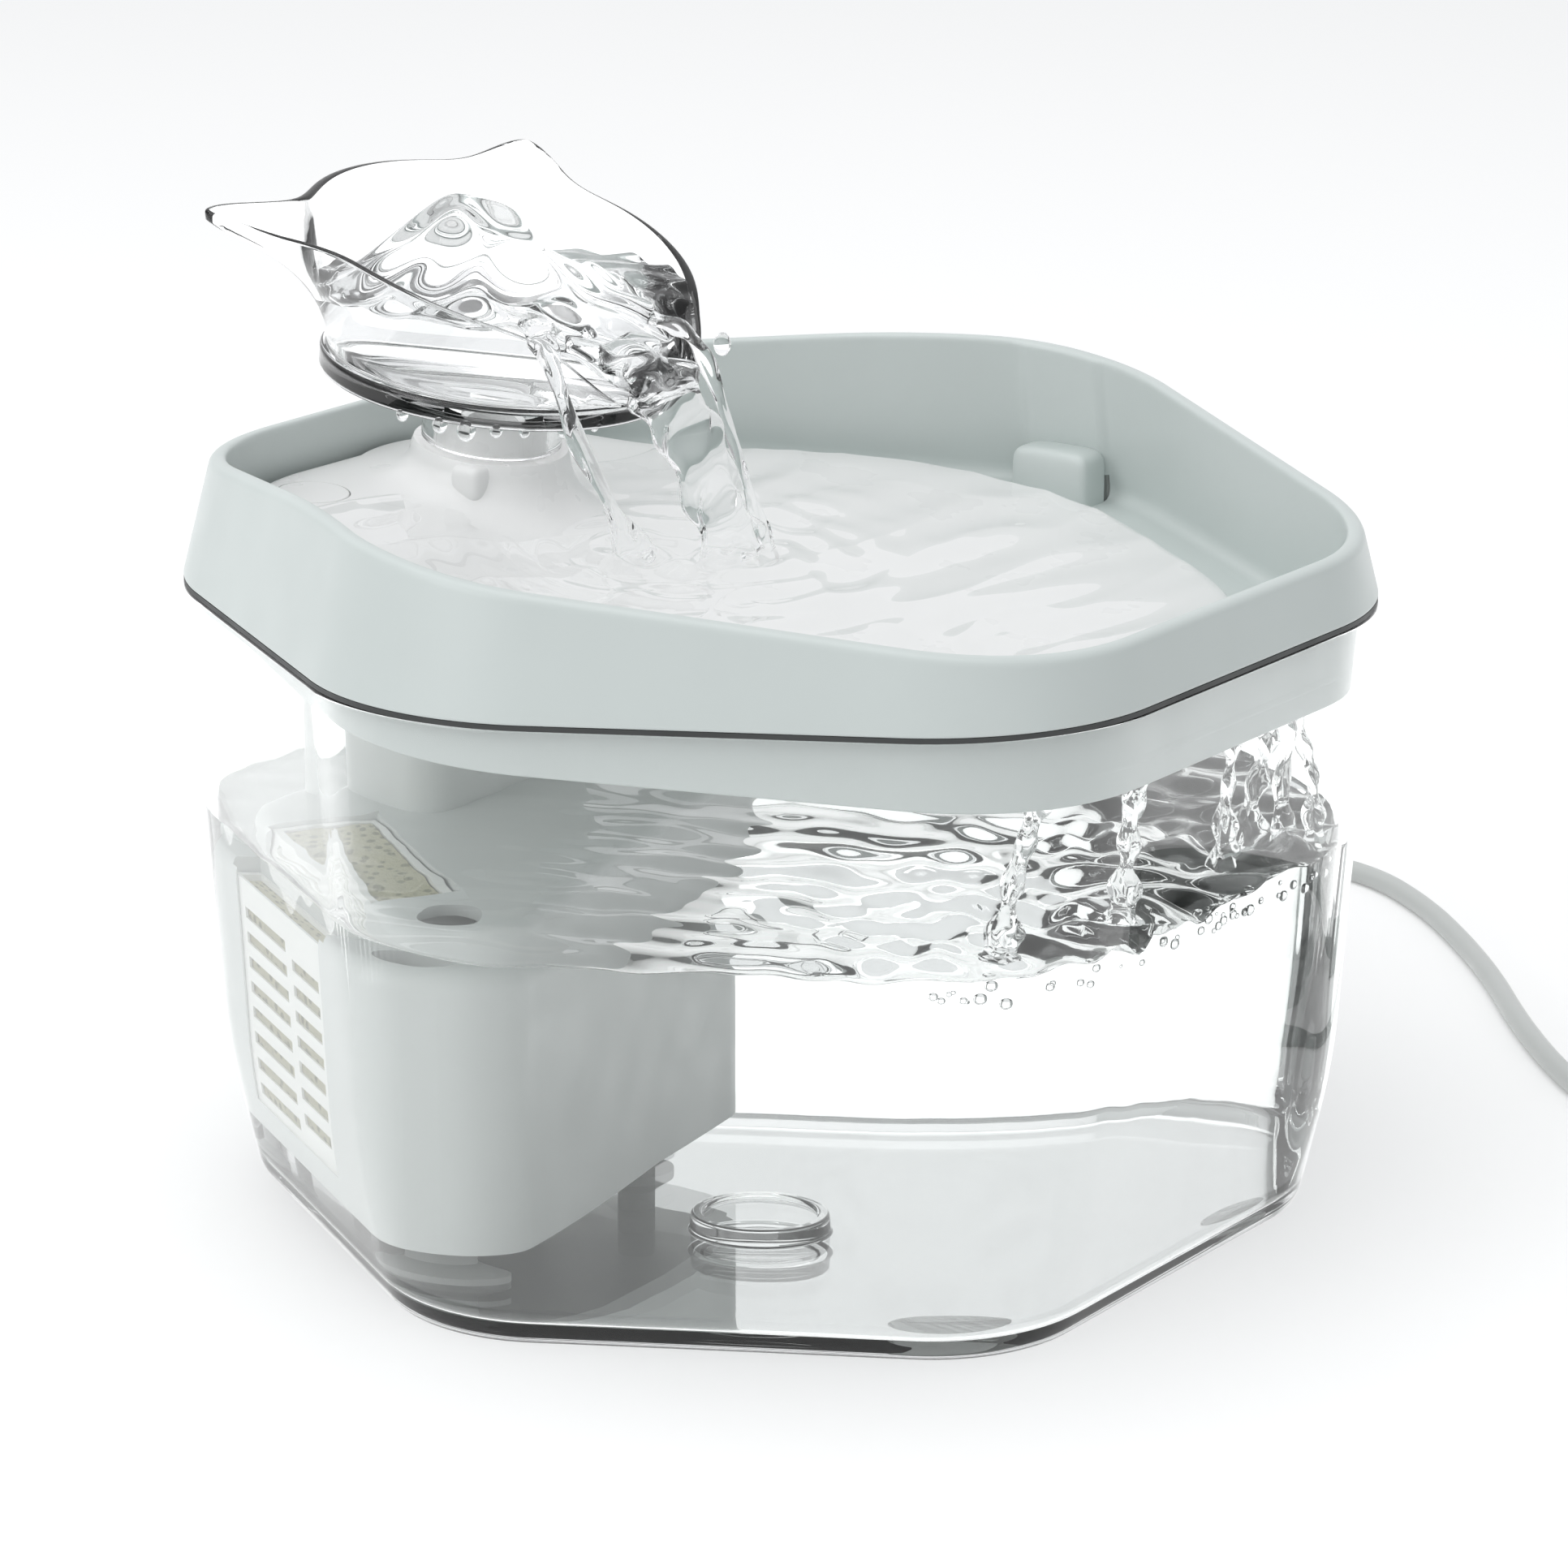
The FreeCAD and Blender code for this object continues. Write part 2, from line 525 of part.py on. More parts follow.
def make_tray():
    """Drinking tray: leaning wall with a sloping rim, ledge, inner skirt, sloping channel plate."""
    wall = new_body("tray_wall_body")
    top_apothem, top_corner = tray_outside("tray_height")
    loft(wall, "wall_outside", [
        ("seam_height", "seam_apothem", "seam_corner"),
        ("seam_height + tray_height", top_apothem, top_corner),
    ])
    ledge_apothem, ledge_corner = tray_outside("ledge_thickness")
    loft(wall, "wall_inside", [
        ("seam_height + ledge_thickness", f"{ledge_apothem} - tray_wall", f"{ledge_corner} - tray_wall"),
        ("seam_height + tray_height", f"{top_apothem} - tray_wall", f"{top_corner} - tray_wall"),
    ], cut=True)
    skirt_inside = f"{SKIRT} - {LEAN} * skirt_depth - skirt_wall"
    skirt_inner_corner = "seam_corner - tank_wall - skirt_gap - skirt_wall"
    loft(wall, "ledge_inside", [
        ("seam_height", skirt_inside, skirt_inner_corner),
        ("seam_height + ledge_thickness", skirt_inside, skirt_inner_corner),
    ], cut=True)
    reach = "seam_apothem * 1.4"
    rim = [
        (f"-{reach}", "seam_height + rim_front"),
        ("rim_front_y", "seam_height + rim_front", "rim_crest_radius / 3"),
        ("rim_crest_y", "seam_height + rim_crest", "rim_crest_radius"),
        ("seam_apothem", "seam_height + rim_back"),
        (reach, "seam_height + rim_back"),
        (reach, "seam_height + tray_height * 2"),
        (f"-{reach}", "seam_height + tray_height * 2"),
    ]
    pad(wall, "rim_cut", outline(wall, "rim_sketch", "YZ_Plane", rim), f"{reach} * 2", cut=True, middle=True)

    skirt = new_body("tray_skirt_body")
    bottom = "seam_height - skirt_depth"
    corner = "seam_corner - tank_wall - skirt_gap"
    loft(skirt, "skirt_outside", [
        (bottom, f"{SKIRT} - {LEAN} * skirt_depth", f"{corner} - 1"),
        ("seam_height", SKIRT, corner),
    ])
    loft(skirt, "skirt_hollow", [
        (bottom, skirt_inside, skirt_inner_corner),
        ("seam_height", skirt_inside, skirt_inner_corner),
    ], cut=True)

    core = new_body("tray_core")
    inset = 1.0
    low_apothem, low_corner = tray_outside("1")
    loft(core, "core_loft", [
        (bottom, f"{SKIRT} - {LEAN} * skirt_depth - {inset}", f"{corner} - 2"),
        ("seam_height - 0.5", f"{SKIRT} - {inset}", f"{corner} - {inset}"),
        ("seam_height + 1", f"{low_apothem} - {inset}", f"{low_corner} - {inset}"),
        ("seam_height + tray_height", f"{top_apothem} - {inset}", f"{top_corner} - {inset}"),
    ])
    plate = common("tray_plate", core, slab("plate_slab", "-deck_rise - plate_thickness", "-deck_rise"))

    duct_outside = vertex("seam_apothem", "seam_corner") + " - duct_inset"
    duct = box("cord_duct", (f"{duct_outside} - duct_depth", duct_outside),
               ("-duct_width / 2 + duct_shift", "duct_width / 2 + duct_shift"),
               ("seam_height - 9", "seam_height + 4"))
    notch = box("skirt_notch", (vertex(skirt_inside, "seam_corner") + " - 1", "seam_apothem + 20"),
                ("-gland_width / 2 - skirt_gap", "gland_width / 2 + skirt_gap"),
                (f"{bottom} - 1", f"{TANK_TOP} + 0.1"))

    slot_back = "-(deck_apothem - deck_shift + drain_gap)"
    drain = box("drain_slot", ("-drain_half", "drain_half"), (f"{slot_back} - drain_width", slot_back),
                ("seam_height - skirt_depth * 2", "seam_height"))
    below = common("skirt_trim", slab("skirt_slab", "-skirt_depth * 4", "-deck_rise - plate_thickness"),
                   box("skirt_trim_box", ("-seam_apothem * 2", "seam_apothem * 2"),
                       ("-seam_apothem * 2", "seam_apothem * 2"), ("0", "seam_height - skirt_least")))
    way_up = cylinder("tray_tube_hole", "tube_radius + tube_gap", "40", "0", "bowl_y", "seam_height - 20")
    solid = fuse("tray_solid", wall, skirt, plate, duct)
    keep(cut("tray", solid, notch, drain, way_up, below), "top_tray")


def make_deck():
    """White drinking deck with the riser cone, its spigot and a flush plug."""
    outline_prism = prism("deck_prism", "deck_apothem", "deck_corner", "seam_height - 40", "seam_height + 30",
                          "deck_front_corner")
    place(outline_prism, "0", "deck_shift", "0")
    plate = common("deck_plate", outline_prism, slab("deck_slab", "-deck_rise", "0"))
    foot = "-collar_depth - cone_height"
    cone = turned("riser_cone", [
        ("0", f"{foot} - 3"),
        ("cone_radius", f"{foot} - 3"),
        ("cone_radius", foot),
        ("collar_radius + 2", "-collar_depth - 3", "collar_radius"),
        ("collar_radius + 1", "-collar_depth - 0.4"),
        ("spigot_radius", "-collar_depth - 0.4"),
        ("spigot_radius", "-1"),
        ("0", "-1"),
    ], [
        [
            ("0", "-collar_depth - 4"),
            ("nozzle_radius", "-collar_depth - 4"),
            ("nozzle_radius", "0"),
            ("0", "0"),
        ],
        [
            ("spigot_radius - seal_groove", "-seal_low - 0.1"),
            ("spigot_radius + 3", "-seal_low - 0.1"),
            ("spigot_radius + 3", "-seal_low + seal_height + 0.1"),
            ("spigot_radius - seal_groove", "-seal_low + seal_height + 0.1"),
        ],
    ])
    to_bowl(cone)
    above = common("cone_trimmed", cone, slab("cone_slab", "-deck_rise / 2", "60"))
    tab = box("riser_tab", ("-tab_width / 2", "tab_width / 2"),
              ("bowl_y - collar_radius - tab_reach", "bowl_y - collar_radius + 3"),
              ("seam_height + bowl_lift - collar_depth - 9", "seam_height + bowl_lift - collar_depth - 3"))
    bore = cylinder("deck_tube_hole", "tube_radius + tube_gap", "bowl_lift - collar_depth + 18", "0", "bowl_y",
                    "seam_height - 20")
    recess = cylinder("plug_recess", "plug_radius + 0.1", "plug_depth + 10")
    on_deck(recess, "-plug_left", "bowl_y + plug_behind", "-plug_depth")
    keep(cut("deck", fuse("deck_solid", plate, above, tab), bore, recess), "drinking_deck")
    plug = cylinder("deck_plug_disc", "plug_radius", "plug_depth")
    on_deck(plug, "-plug_left", "bowl_y + plug_behind", "-plug_depth")
    keep(plug, "deck_plug")
    seal = turned("collar_seal", [
        ("spigot_radius - seal_groove + shaft_gap", "-seal_low"),
        ("spigot_radius + spigot_gap - shaft_gap", "-seal_low"),
        ("spigot_radius + spigot_gap - shaft_gap", "-seal_low + seal_height"),
        ("spigot_radius - seal_groove + shaft_gap", "-seal_low + seal_height"),
    ])
    keep(to_bowl(seal), "collar_seal")


def to_bowl(thing):
    """Place a body in the pour bowl's tilted frame."""
    return place(thing, "0", "bowl_y", "seam_height + bowl_lift", Vector(1, 0, 0), "bowl_tilt")


def on_deck(thing, x, along, above):
    """Place a body on the sloping deck: along it from the tank's centre, and above its surface."""
    y = f"({along}) * cos(deck_slope * 1 deg) - ({above}) * sin(deck_slope * 1 deg)"
    z = f"seam_height - deck_drop + ({along}) * sin(deck_slope * 1 deg) + ({above}) * cos(deck_slope * 1 deg)"
    return place(thing, x, y, z, Vector(1, 0, 0), "deck_slope")


# Pour bowl rim: height along the bowl's axis against the distance behind its centre
RIM_POINTS = [
    (-60, -12), (-44, -5), (-34.7, 5), (-31, 9.8), (-27, 14), (-20, 18), (0, 23), (20, 26), (36, 28.3), (60, 30),
]
BOWL_RINGS = 6
BOWL_STEPS = 72


def bowl_radius(angle, height, inset=0.0):
    """Bowl outside at an angle in degrees and a height: a flaring wall with two ears and a spout."""
    ring = size("bowl_ring_height")
    share = max(0.0, (height - ring) / (size("bowl_height") - ring))
    wall = size("bowl_base_radius") + (size("bowl_top_radius") - size("bowl_base_radius")) * share**0.75
    reach = 0.0
    for ear in (size("ear_angle"), 180 - size("ear_angle")):
        off = abs((angle - ear + 180) % 360 - 180) / size("ear_width")
        reach += size("ear_reach") * math.exp(-(off**1.7)) * min(1.0, share / 0.8) ** 3
    off = abs((angle + 90 + 180) % 360 - 180) / size("spout_width")
    reach += size("spout_reach") * math.exp(-(off**3)) * min(1.0, share / 0.1)
    return wall + reach - inset


def bowl_solid(inset, low):
    """A smooth closed solid through rings of the bowl's outside, drawn in by inset."""
    ring = size("bowl_ring_height")
    heights = [low] + [ring + (size("bowl_height") - ring) * i / (BOWL_RINGS - 1) for i in range(BOWL_RINGS)]
    wires = []
    for height in heights:
        points = []
        for k in range(BOWL_STEPS):
            angle = 360 * k / BOWL_STEPS
            radius = bowl_radius(angle, height, inset)
            points.append(Vector(radius * math.cos(math.radians(angle)),
                                 radius * math.sin(math.radians(angle)), height))
        curve = Part.BSplineCurve()
        curve.interpolate(points, PeriodicFlag=True)
        wires.append(Part.Wire(curve.toShape()))
    return Part.makeLoft(wires, True, True)


def make_bowl():
    """Clear pour bowl with two ears, a spout, a ring round its base and a collar."""
    outside = bowl_solid(0.0, size("bowl_ring_height") / 2)
    inside = bowl_solid(size("bowl_wall"), size("bowl_floor"))
    ring = Part.makeCylinder(size("bowl_ring_radius"), size("bowl_ring_height"))
    ring = ring.makeFillet(0.7, ring.Edges)
    collar = Part.makeCylinder(size("collar_radius"), size("collar_depth"), Vector(0, 0, -size("collar_depth")))
    collar_bore = Part.makeCylinder(size("spigot_radius + spigot_gap"), size("collar_depth") - 0.01,
                                    Vector(0, 0, -size("collar_depth") - 0.01))
    hole = Part.makeCylinder(size("nozzle_radius + 1"), 20, Vector(0, 0, -1))
    rim = Part.BSplineCurve()
    rim.interpolate([Vector(-100, y, z) for y, z in RIM_POINTS])
    top = [Vector(-100, RIM_POINTS[-1][0], 80), Vector(-100, RIM_POINTS[0][0], 80)]
    edges = [
        rim.toShape(),
        Part.makeLine(Vector(-100, *RIM_POINTS[-1]), top[0]),
        Part.makeLine(top[0], top[1]),
        Part.makeLine(top[1], Vector(-100, *RIM_POINTS[0])),
    ]
    above_rim = Part.Face(Part.Wire(edges)).extrude(Vector(200, 0, 0))
    shape = outside.fuse([ring, collar]).cut(inside).cut(collar_bore).cut(hole).cut(above_rim)
    bowl = doc.addObject("Part::Feature", "pour_bowl_shape")
    bowl.Shape = shape.removeSplitter()
    to_bowl(bowl)
    keep(bowl, "pour_bowl")


# Pump housing's outline: a point of its filter side is p * n + s * t with n at 150 degrees
SIDE_N = ("cos(150 deg)", "sin(150 deg)")
SIDE_T = ("cos(60 deg)", "sin(60 deg)")
HOUSING_SIDE = "(filter_distance + housing_side_gap)"


def on_side(distance, along):
    """X and Y of a point at a distance from the centre and along the filter's side."""
    x = f"(({distance}) * {SIDE_N[0]} + ({along}) * {SIDE_T[0]})"
    y = f"(({distance}) * {SIDE_N[1]} + ({along}) * {SIDE_T[1]})"
    return x, y


def housing_corners(inset):
    """The housing's outline, drawn in by inset."""
    back = f"(housing_back - {inset})"
    right = f"(housing_right - {inset})"
    side = f"({HOUSING_SIDE} - {inset})"
    back_x = f"(({back} * 0.5 - {side}) / cos(30 deg))"
    left_x, left_y = on_side(side, "-housing_side_end")
    return [
        (left_x, left_y, f"8 - {inset}"),
        (f"-housing_nose_x + {inset} * 0.3", f"-housing_nose_y + {inset} * 1.2", f"12 - {inset}"),
        (right, f"housing_front + {inset}", f"housing_corner - {inset}"),
        (right, back, f"housing_corner - {inset}"),
        (back_x, back, f"18 - {inset}"),
    ]


def tower_corners(inset):
    """The riser tower's outline, drawn in by inset."""
    left = f"-(tower_left - {inset})"
    right = f"(tower_right - {inset})"
    front = f"(bowl_y - tower_front + {inset})"
    back = f"(housing_back - {inset})"
    corner = f"tower_corner - {inset}"
    return [(left, front, corner), (right, front, corner), (right, back, corner), (left, back, corner)]


def side_block(name, distance, along, z):
    """A box turned to the filter's side: distance and along are (low, high) pairs."""
    return box(name, distance, (f"-({along[1]})", f"-({along[0]})"), z, "150")


FILTER_LOW = "(filter_offset - filter_width / 2)"
FILTER_HIGH = "(filter_offset + filter_width / 2)"
FILTER_BACK = "(filter_distance - filter_thickness)"
FILTER_FLOOR = "(housing_floor + base_plate + 1)"


PUMP_CORD = ("26", "bowl_y + 7.2")
SUCTION_SPOTS = (("-58", "16"), ("26", "44"), ("24", "66"), ("-34", "66"))


def make_housing():
    """Pump housing: a shell with a filter bay, a window and a round port, and the riser tower on it."""
    shell = new_body("housing_shell")
    outer = outline(shell, "housing_outline", "XY_Plane", housing_corners("0"), "housing_floor + base_plate")
    pad(shell, "housing_pad", outer, "housing_top - housing_floor - base_plate")
    shell_top = shell.newObject("PartDesign::Fillet", "housing_top_edge")
    doc.recompute()
    top_edges = [
        f"Edge{i + 1}" for i, e in enumerate(doc.getObject("housing_pad").Shape.Edges)
        if abs(e.BoundBox.ZMin - size("housing_top")) < 1e-3 and e.BoundBox.ZLength < 1e-3
    ]
    shell_top.Base = (doc.getObject("housing_pad"), top_edges)
    shell_top.Radius = size("housing_edge")
    bind(shell_top, "Radius", "housing_edge")
    inner = outline(shell, "housing_hollow_outline", "XY_Plane", housing_corners("housing_wall"),
                    "housing_floor + base_plate")
    pad(shell, "housing_hollow", inner, "housing_top - housing_floor - base_plate - housing_wall - 2",
        cut=True, reverse=True)
    tower = new_body("riser_tower_block")
    pad(tower, "tower_pad", outline(tower, "tower_outline", "XY_Plane", tower_corners("0"), "housing_top - 3"),
        "tower_top - housing_top + 3")
    tower_cut = new_body("riser_tower_hollow")
    hollow = outline(tower_cut, "tower_hollow_outline", "XY_Plane", tower_corners("housing_wall"),
                     "housing_top - 4.5")
    pad(tower_cut, "tower_hollow", hollow, "tower_top - housing_top + 4.5 - housing_wall")
    bay_wall = side_block("bay_walls", (f"{FILTER_BACK} - filter_gap - housing_wall", f"{HOUSING_SIDE} - 0.5"),
                          (f"{FILTER_LOW} - filter_gap - housing_wall", f"{FILTER_HIGH} + filter_gap + housing_wall"),
                          ("housing_floor + base_plate", "housing_top - 3"))
    bay = side_block("filter_bay", (f"{FILTER_BACK} - filter_gap", "filter_distance + filter_gap"),
                     (f"{FILTER_LOW} - filter_gap", f"{FILTER_HIGH} + filter_gap"),
                     ("housing_floor + base_plate - 1", "housing_top + 20"))
    window = side_block("filter_window", ("filter_distance - 2", "filter_distance + 8"),
                        (f"{FILTER_LOW} + 1.5", f"{FILTER_HIGH} - 1.5"),
                        (f"{FILTER_FLOOR} + 1.5", "housing_top + 20"))
    inflow = side_block("bay_inflow", (f"{FILTER_BACK} - 8", f"{FILTER_BACK} + 1"),
                        (f"{FILTER_LOW} + 8", f"{FILTER_HIGH} - 8"),
                        (f"{FILTER_FLOOR} + 4", "housing_top - 14"))
    port = cylinder("sight_port", "port_radius", "20", *on_side("filter_distance - port_inset", "-port_along"),
                    "housing_top - 12")
    tube_hole = cylinder("tower_tube_hole", "tube_radius + 0.1", "60", "0", "bowl_y", "tower_top - 40")
    cord_hole = cylinder("housing_cord_hole", "cord_radius + 0.3", "20", *PUMP_CORD, "housing_top - 12")
    keep(cut("tower", tower, shell, tower_cut, tube_hole), "riser_tower")
    solid = fuse("housing_with_bay", cut("housing_solid", shell, tower_cut), bay_wall)
    keep(cut("housing", solid, bay, window, inflow, port, cord_hole), "pump_housing")

    base = new_body("housing_base_body")
    pad(base, "base_pad", outline(base, "base_outline", "XY_Plane", housing_corners("0"), "housing_floor"),
        "base_plate")
    rest = side_block("basket_rest", (f"{FILTER_BACK} + 1", "filter_distance - 1"),
                      (f"{FILTER_LOW} + 1", f"{FILTER_HIGH} - 1"),
                      ("housing_floor + base_plate - 0.5", FILTER_FLOOR))
    cradle = box("pump_cradle", ("chamber_half", "chamber_half + motor_length"),
                 ("bowl_y - motor_half", "bowl_y + motor_half"),
                 ("housing_floor + base_plate - 0.5", "pump_height - motor_half"))
    keep(fuse("housing_base_solid", base, rest, cradle), "housing_base")
    feet = []
    for i, (x, y) in enumerate(SUCTION_SPOTS):
        feet.append(turned(f"suction_foot_{i}", [
            ("0", f"{FLOOR_TOP}"),
            ("suction_radius", f"{FLOOR_TOP}"),
            ("suction_radius", f"{FLOOR_TOP} + 1.2"),
            ("suction_radius * 0.5", f"{FLOOR_TOP} + 3"),
            ("suction_radius * 0.5", "housing_floor"),
            ("0", "housing_floor"),
        ]))
        place(feet[-1], x, y, "0")
    keep(group("suction_feet_group", *feet), "suction_feet")


def make_filter():
    """Slotted basket, open on top, with the filter medium inside."""
    top = f"({FILTER_FLOOR} + filter_height)"
    block = side_block("basket_block", (FILTER_BACK, "filter_distance"), (FILTER_LOW, FILTER_HIGH),
                       (FILTER_FLOOR, top))
    inner = side_block("basket_inner", (f"{FILTER_BACK} + basket_wall", "filter_distance - basket_wall"),
                       (f"{FILTER_LOW} + basket_wall", f"{FILTER_HIGH} - basket_wall"),
                       (f"{FILTER_FLOOR} + basket_wall", f"{top} + 5"))
    slots = []
    left = f"({FILTER_LOW} + 4)"
    right = f"({FILTER_HIGH} - 4)"
    middle = f"({FILTER_LOW} + filter_width * 0.42)"
    for i in range(int(size("slot_count"))):
        low = f"({FILTER_FLOOR} + 3.4 + {i} * slot_pitch)"
        stagger = f"({low} + slot_pitch / 2)"
        slots.append(side_block(f"slot_long_{i}", (f"{FILTER_BACK} - 1", "filter_distance + 1"),
                                (f"{middle} + 1.5", right), (low, f"{low} + slot_height")))
        if i < int(size("slot_count")) - 1:
            slots.append(side_block(f"slot_short_{i}", (f"{FILTER_BACK} - 1", "filter_distance + 1"),
                                    (left, f"{middle} - 1.5"), (stagger, f"{stagger} + slot_height")))
    keep(cut("basket", block, inner, *slots), "filter_basket")
    gap = "(basket_wall + 0.3)"
    medium = side_block("medium_block", (f"{FILTER_BACK} + {gap}", f"filter_distance - {gap}"),
                        (f"{FILTER_LOW} + {gap}", f"{FILTER_HIGH} - {gap}"),
                        (f"{FILTER_FLOOR} + basket_wall", f"{top} - 1"))
    keep(medium, "filter_medium")


def vane(name, angle, low, high):
    """A flat vane through the pump's axis, turned about it."""
    reach = "(chamber_radius - chamber_wall - rotor_gap)"
    half = "vane_thickness / 2"
    thing = box(name, (low, high), (f"-{half}", half), (f"-{reach}", reach))
    y = f"bowl_y - {half} * cos({angle} deg) + {reach} * sin({angle} deg)"
    z = f"pump_height - {half} * sin({angle} deg) - {reach} * cos({angle} deg)"
    return place(thing, low, y, z, Vector(1, 0, 0), str(angle))


def make_pump():
    """Small pump: motor block, impeller chamber with an outlet, cover, rotor, shaft and bushes."""
    end = "(chamber_half + motor_length)"
    block = box("motor_block", ("chamber_half", end), ("bowl_y - motor_half", "bowl_y + motor_half"),
                ("pump_height - motor_half", "pump_height + motor_half"))
    chamber = along_x("chamber_outside", "chamber_radius", "-chamber_half", "chamber_half", "bowl_y", "pump_height")
    outlet = cylinder("outlet_stub", "tube_radius - tube_wall", "chamber_radius + 8", "0", "bowl_y", "pump_height")
    hollow = along_x("chamber_hollow", "chamber_radius - chamber_wall", "-chamber_half - 1",
                     "chamber_half - chamber_wall", "bowl_y", "pump_height")
    well = along_x("rotor_well", "rotor_radius + rotor_gap", "0", f"{end} - 4", "bowl_y", "pump_height")
    outflow = cylinder("outlet_bore", "tube_radius - tube_wall * 2", "60", "0", "bowl_y", "pump_height")
    solid = fuse("pump_solid", block, chamber, outlet)
    keep(cut("pump_shape", solid, hollow, well, outflow), "pump_body")

    face = "-chamber_half"
    cover_low = f"({face} - cover_thickness)"
    disc_part = along_x("cover_disc", "chamber_radius", cover_low, face, "bowl_y", "pump_height")
    intake = along_x("cover_intake", "chamber_radius * 0.45", f"{cover_low} - 1", f"{face} + 1", "bowl_y", "pump_height")
    bridge = box("cover_bridge", (cover_low, face), ("bowl_y - 1.4", "bowl_y + 1.4"),
                 ("pump_height - chamber_radius * 0.6", "pump_height + chamber_radius * 0.6"))
    keep(fuse("cover_shape", cut("cover_ring", disc_part, intake), bridge), "impeller_cover")

    bore = "(shaft_radius + shaft_gap)"
    magnet = along_x("rotor_magnet", "rotor_radius", "1.5", f"{end} - 6.5", "bowl_y", "pump_height")
    hub = along_x("rotor_hub", "3", f"{face} + 2.2", "2", "bowl_y", "pump_height")
    vanes = [vane(f"vane_{angle}", angle, f"{face} + 2.4", "-1") for angle in (0, 60, 120)]
    rotor = fuse("rotor_solid", magnet, hub, *vanes)
    rotor_bore = along_x("rotor_bore", bore, f"{face} - 1", end, "bowl_y", "pump_height")
    keep(cut("rotor", rotor, rotor_bore), "impeller")
    shaft = along_x("shaft", "shaft_radius", f"{face}", f"{end} - 4", "bowl_y", "pump_height")
    keep(shaft, "rotor_shaft")
    bushes = []
    for i, low in enumerate((f"{face} + 0.2", f"{end} - 4.4 - bush_length")):
        high = f"{low} + bush_length"
        ring = along_x(f"bush_outside_{i}", "bush_radius", low, high, "bowl_y", "pump_height")
        hole = along_x(f"bush_hole_{i}", "shaft_radius", f"{low} - 1", f"{high} + 1", "bowl_y", "pump_height")
        bushes.append(cut(f"bush_{i}", ring, hole))
    keep(group("bushes", *bushes), "shaft_bushes")

    plate_low = f"({cover_low} - 0.1 - adjuster_thickness)"
    plate = along_x("adjuster_disc", "chamber_radius * 0.8", plate_low, f"{cover_low} - 0.1", "bowl_y",
                    "pump_height")
    opening = along_x("adjuster_hole", "chamber_radius * 0.3", f"{plate_low} - 1", f"{cover_low} + 1", "bowl_y",
                      "pump_height")
    keep(cut("adjuster", plate, opening), "flow_adjuster")
    foam = box("foam_block", (f"{plate_low} - 0.3 - foam_thickness", f"{plate_low} - 0.3"),
               ("bowl_y - foam_width / 2", "bowl_y + foam_width / 2"),
               ("housing_floor + base_plate", "pump_height + 10"))
    keep(foam, "intake_foam")
    low = "(pump_height + chamber_radius + 2)"
    high = "(seam_height + bowl_lift - collar_depth - 4)"
    tube = cylinder("tube_outside", "tube_radius", f"{high} - {low}", "0", "bowl_y", low)
    tube_bore = cylinder("tube_bore", "tube_radius - tube_wall", "160", "0", "bowl_y", "pump_height")
    keep(cut("tube", tube, tube_bore), "riser_tube")


# The cord's free route from the gland, over the floor, to the coil: points chosen along the picture
CORD_POINTS = [
    (113, 0, 92.5), (124, 4, 87), (131, 12, 71), (137, 22, 48), (145, 33, 26), (158, 42, 9),
    (176, 46, 2), (194, 40, 2), (203, 22, 2), (202, 2, 2), (191, -16, 2), (177, -32, 2),
    (161, -48, 2), (141, -65, 2), (122, -84, 2), (107, -104, 2), (96, -125, 2),
]


def smooth_path(points):
    """Straight runs joined by tangent arcs; prints and returns the least arc radius too."""
    points = [Vector(*p) for p in points]
    edges = []
    radii = []
    last = points[0]
    for before, corner, after in zip(points, points[1:], points[2:]):
        back = before - corner
        ahead = after - corner
        shorter = min(back.Length, ahead.Length)
        reach = 0.45 * shorter
        turn = math.pi - back.getAngle(ahead)
        radius = reach / math.tan(turn / 2)
        radii.append(radius)
        start = corner + back.normalize() * reach
        end = corner + ahead.normalize() * reach
        middle = (back + ahead).normalize()
        top = corner + middle * (radius / math.cos(turn / 2) - radius)
        edges.append(Part.makeLine(last, start))
        edges.append(Part.Arc(start, top, end).toShape())
        last = end
    edges.append(Part.makeLine(last, points[-1]))
    return Part.Wire(edges), radii


def swept(wire, radius, start, direction):
    """A round tube along a wire."""
    ring = Part.Wire(Part.makeCircle(radius, start, direction))
    return wire.makePipeShell([ring], True, False, 0)


def biarc(start, start_way, end, end_way):
    """Two arcs that leave and arrive in the given directions."""
    span = end - start
    both = start_way + end_way
    flat = 2 * (1 - start_way.dot(end_way))
    dot = span.dot(both)
    reach = (-dot + math.sqrt(dot * dot + flat * span.dot(span))) / flat
    first = start + start_way * reach
    second = end - end_way * reach
    joint = (first + second) * 0.5
    way = (second - first).normalize()

    def arc(a, way_a, b):
        chord = b - a
        side = way_a - chord * (way_a.dot(chord) / chord.dot(chord))
        half = way_a.getAngle(chord)
        middle = (a + b) * 0.5 + side.normalize() * (chord.Length / 2 * math.tan(half / 2))
        return Part.Arc(a, middle, b).toShape()

    return [arc(start, start_way, joint), arc(joint, way, end)]


COIL_LAYERS = 4
COIL_TURNS = 2.0
COIL_CENTRE = (110, -151)
COIL_START = 158


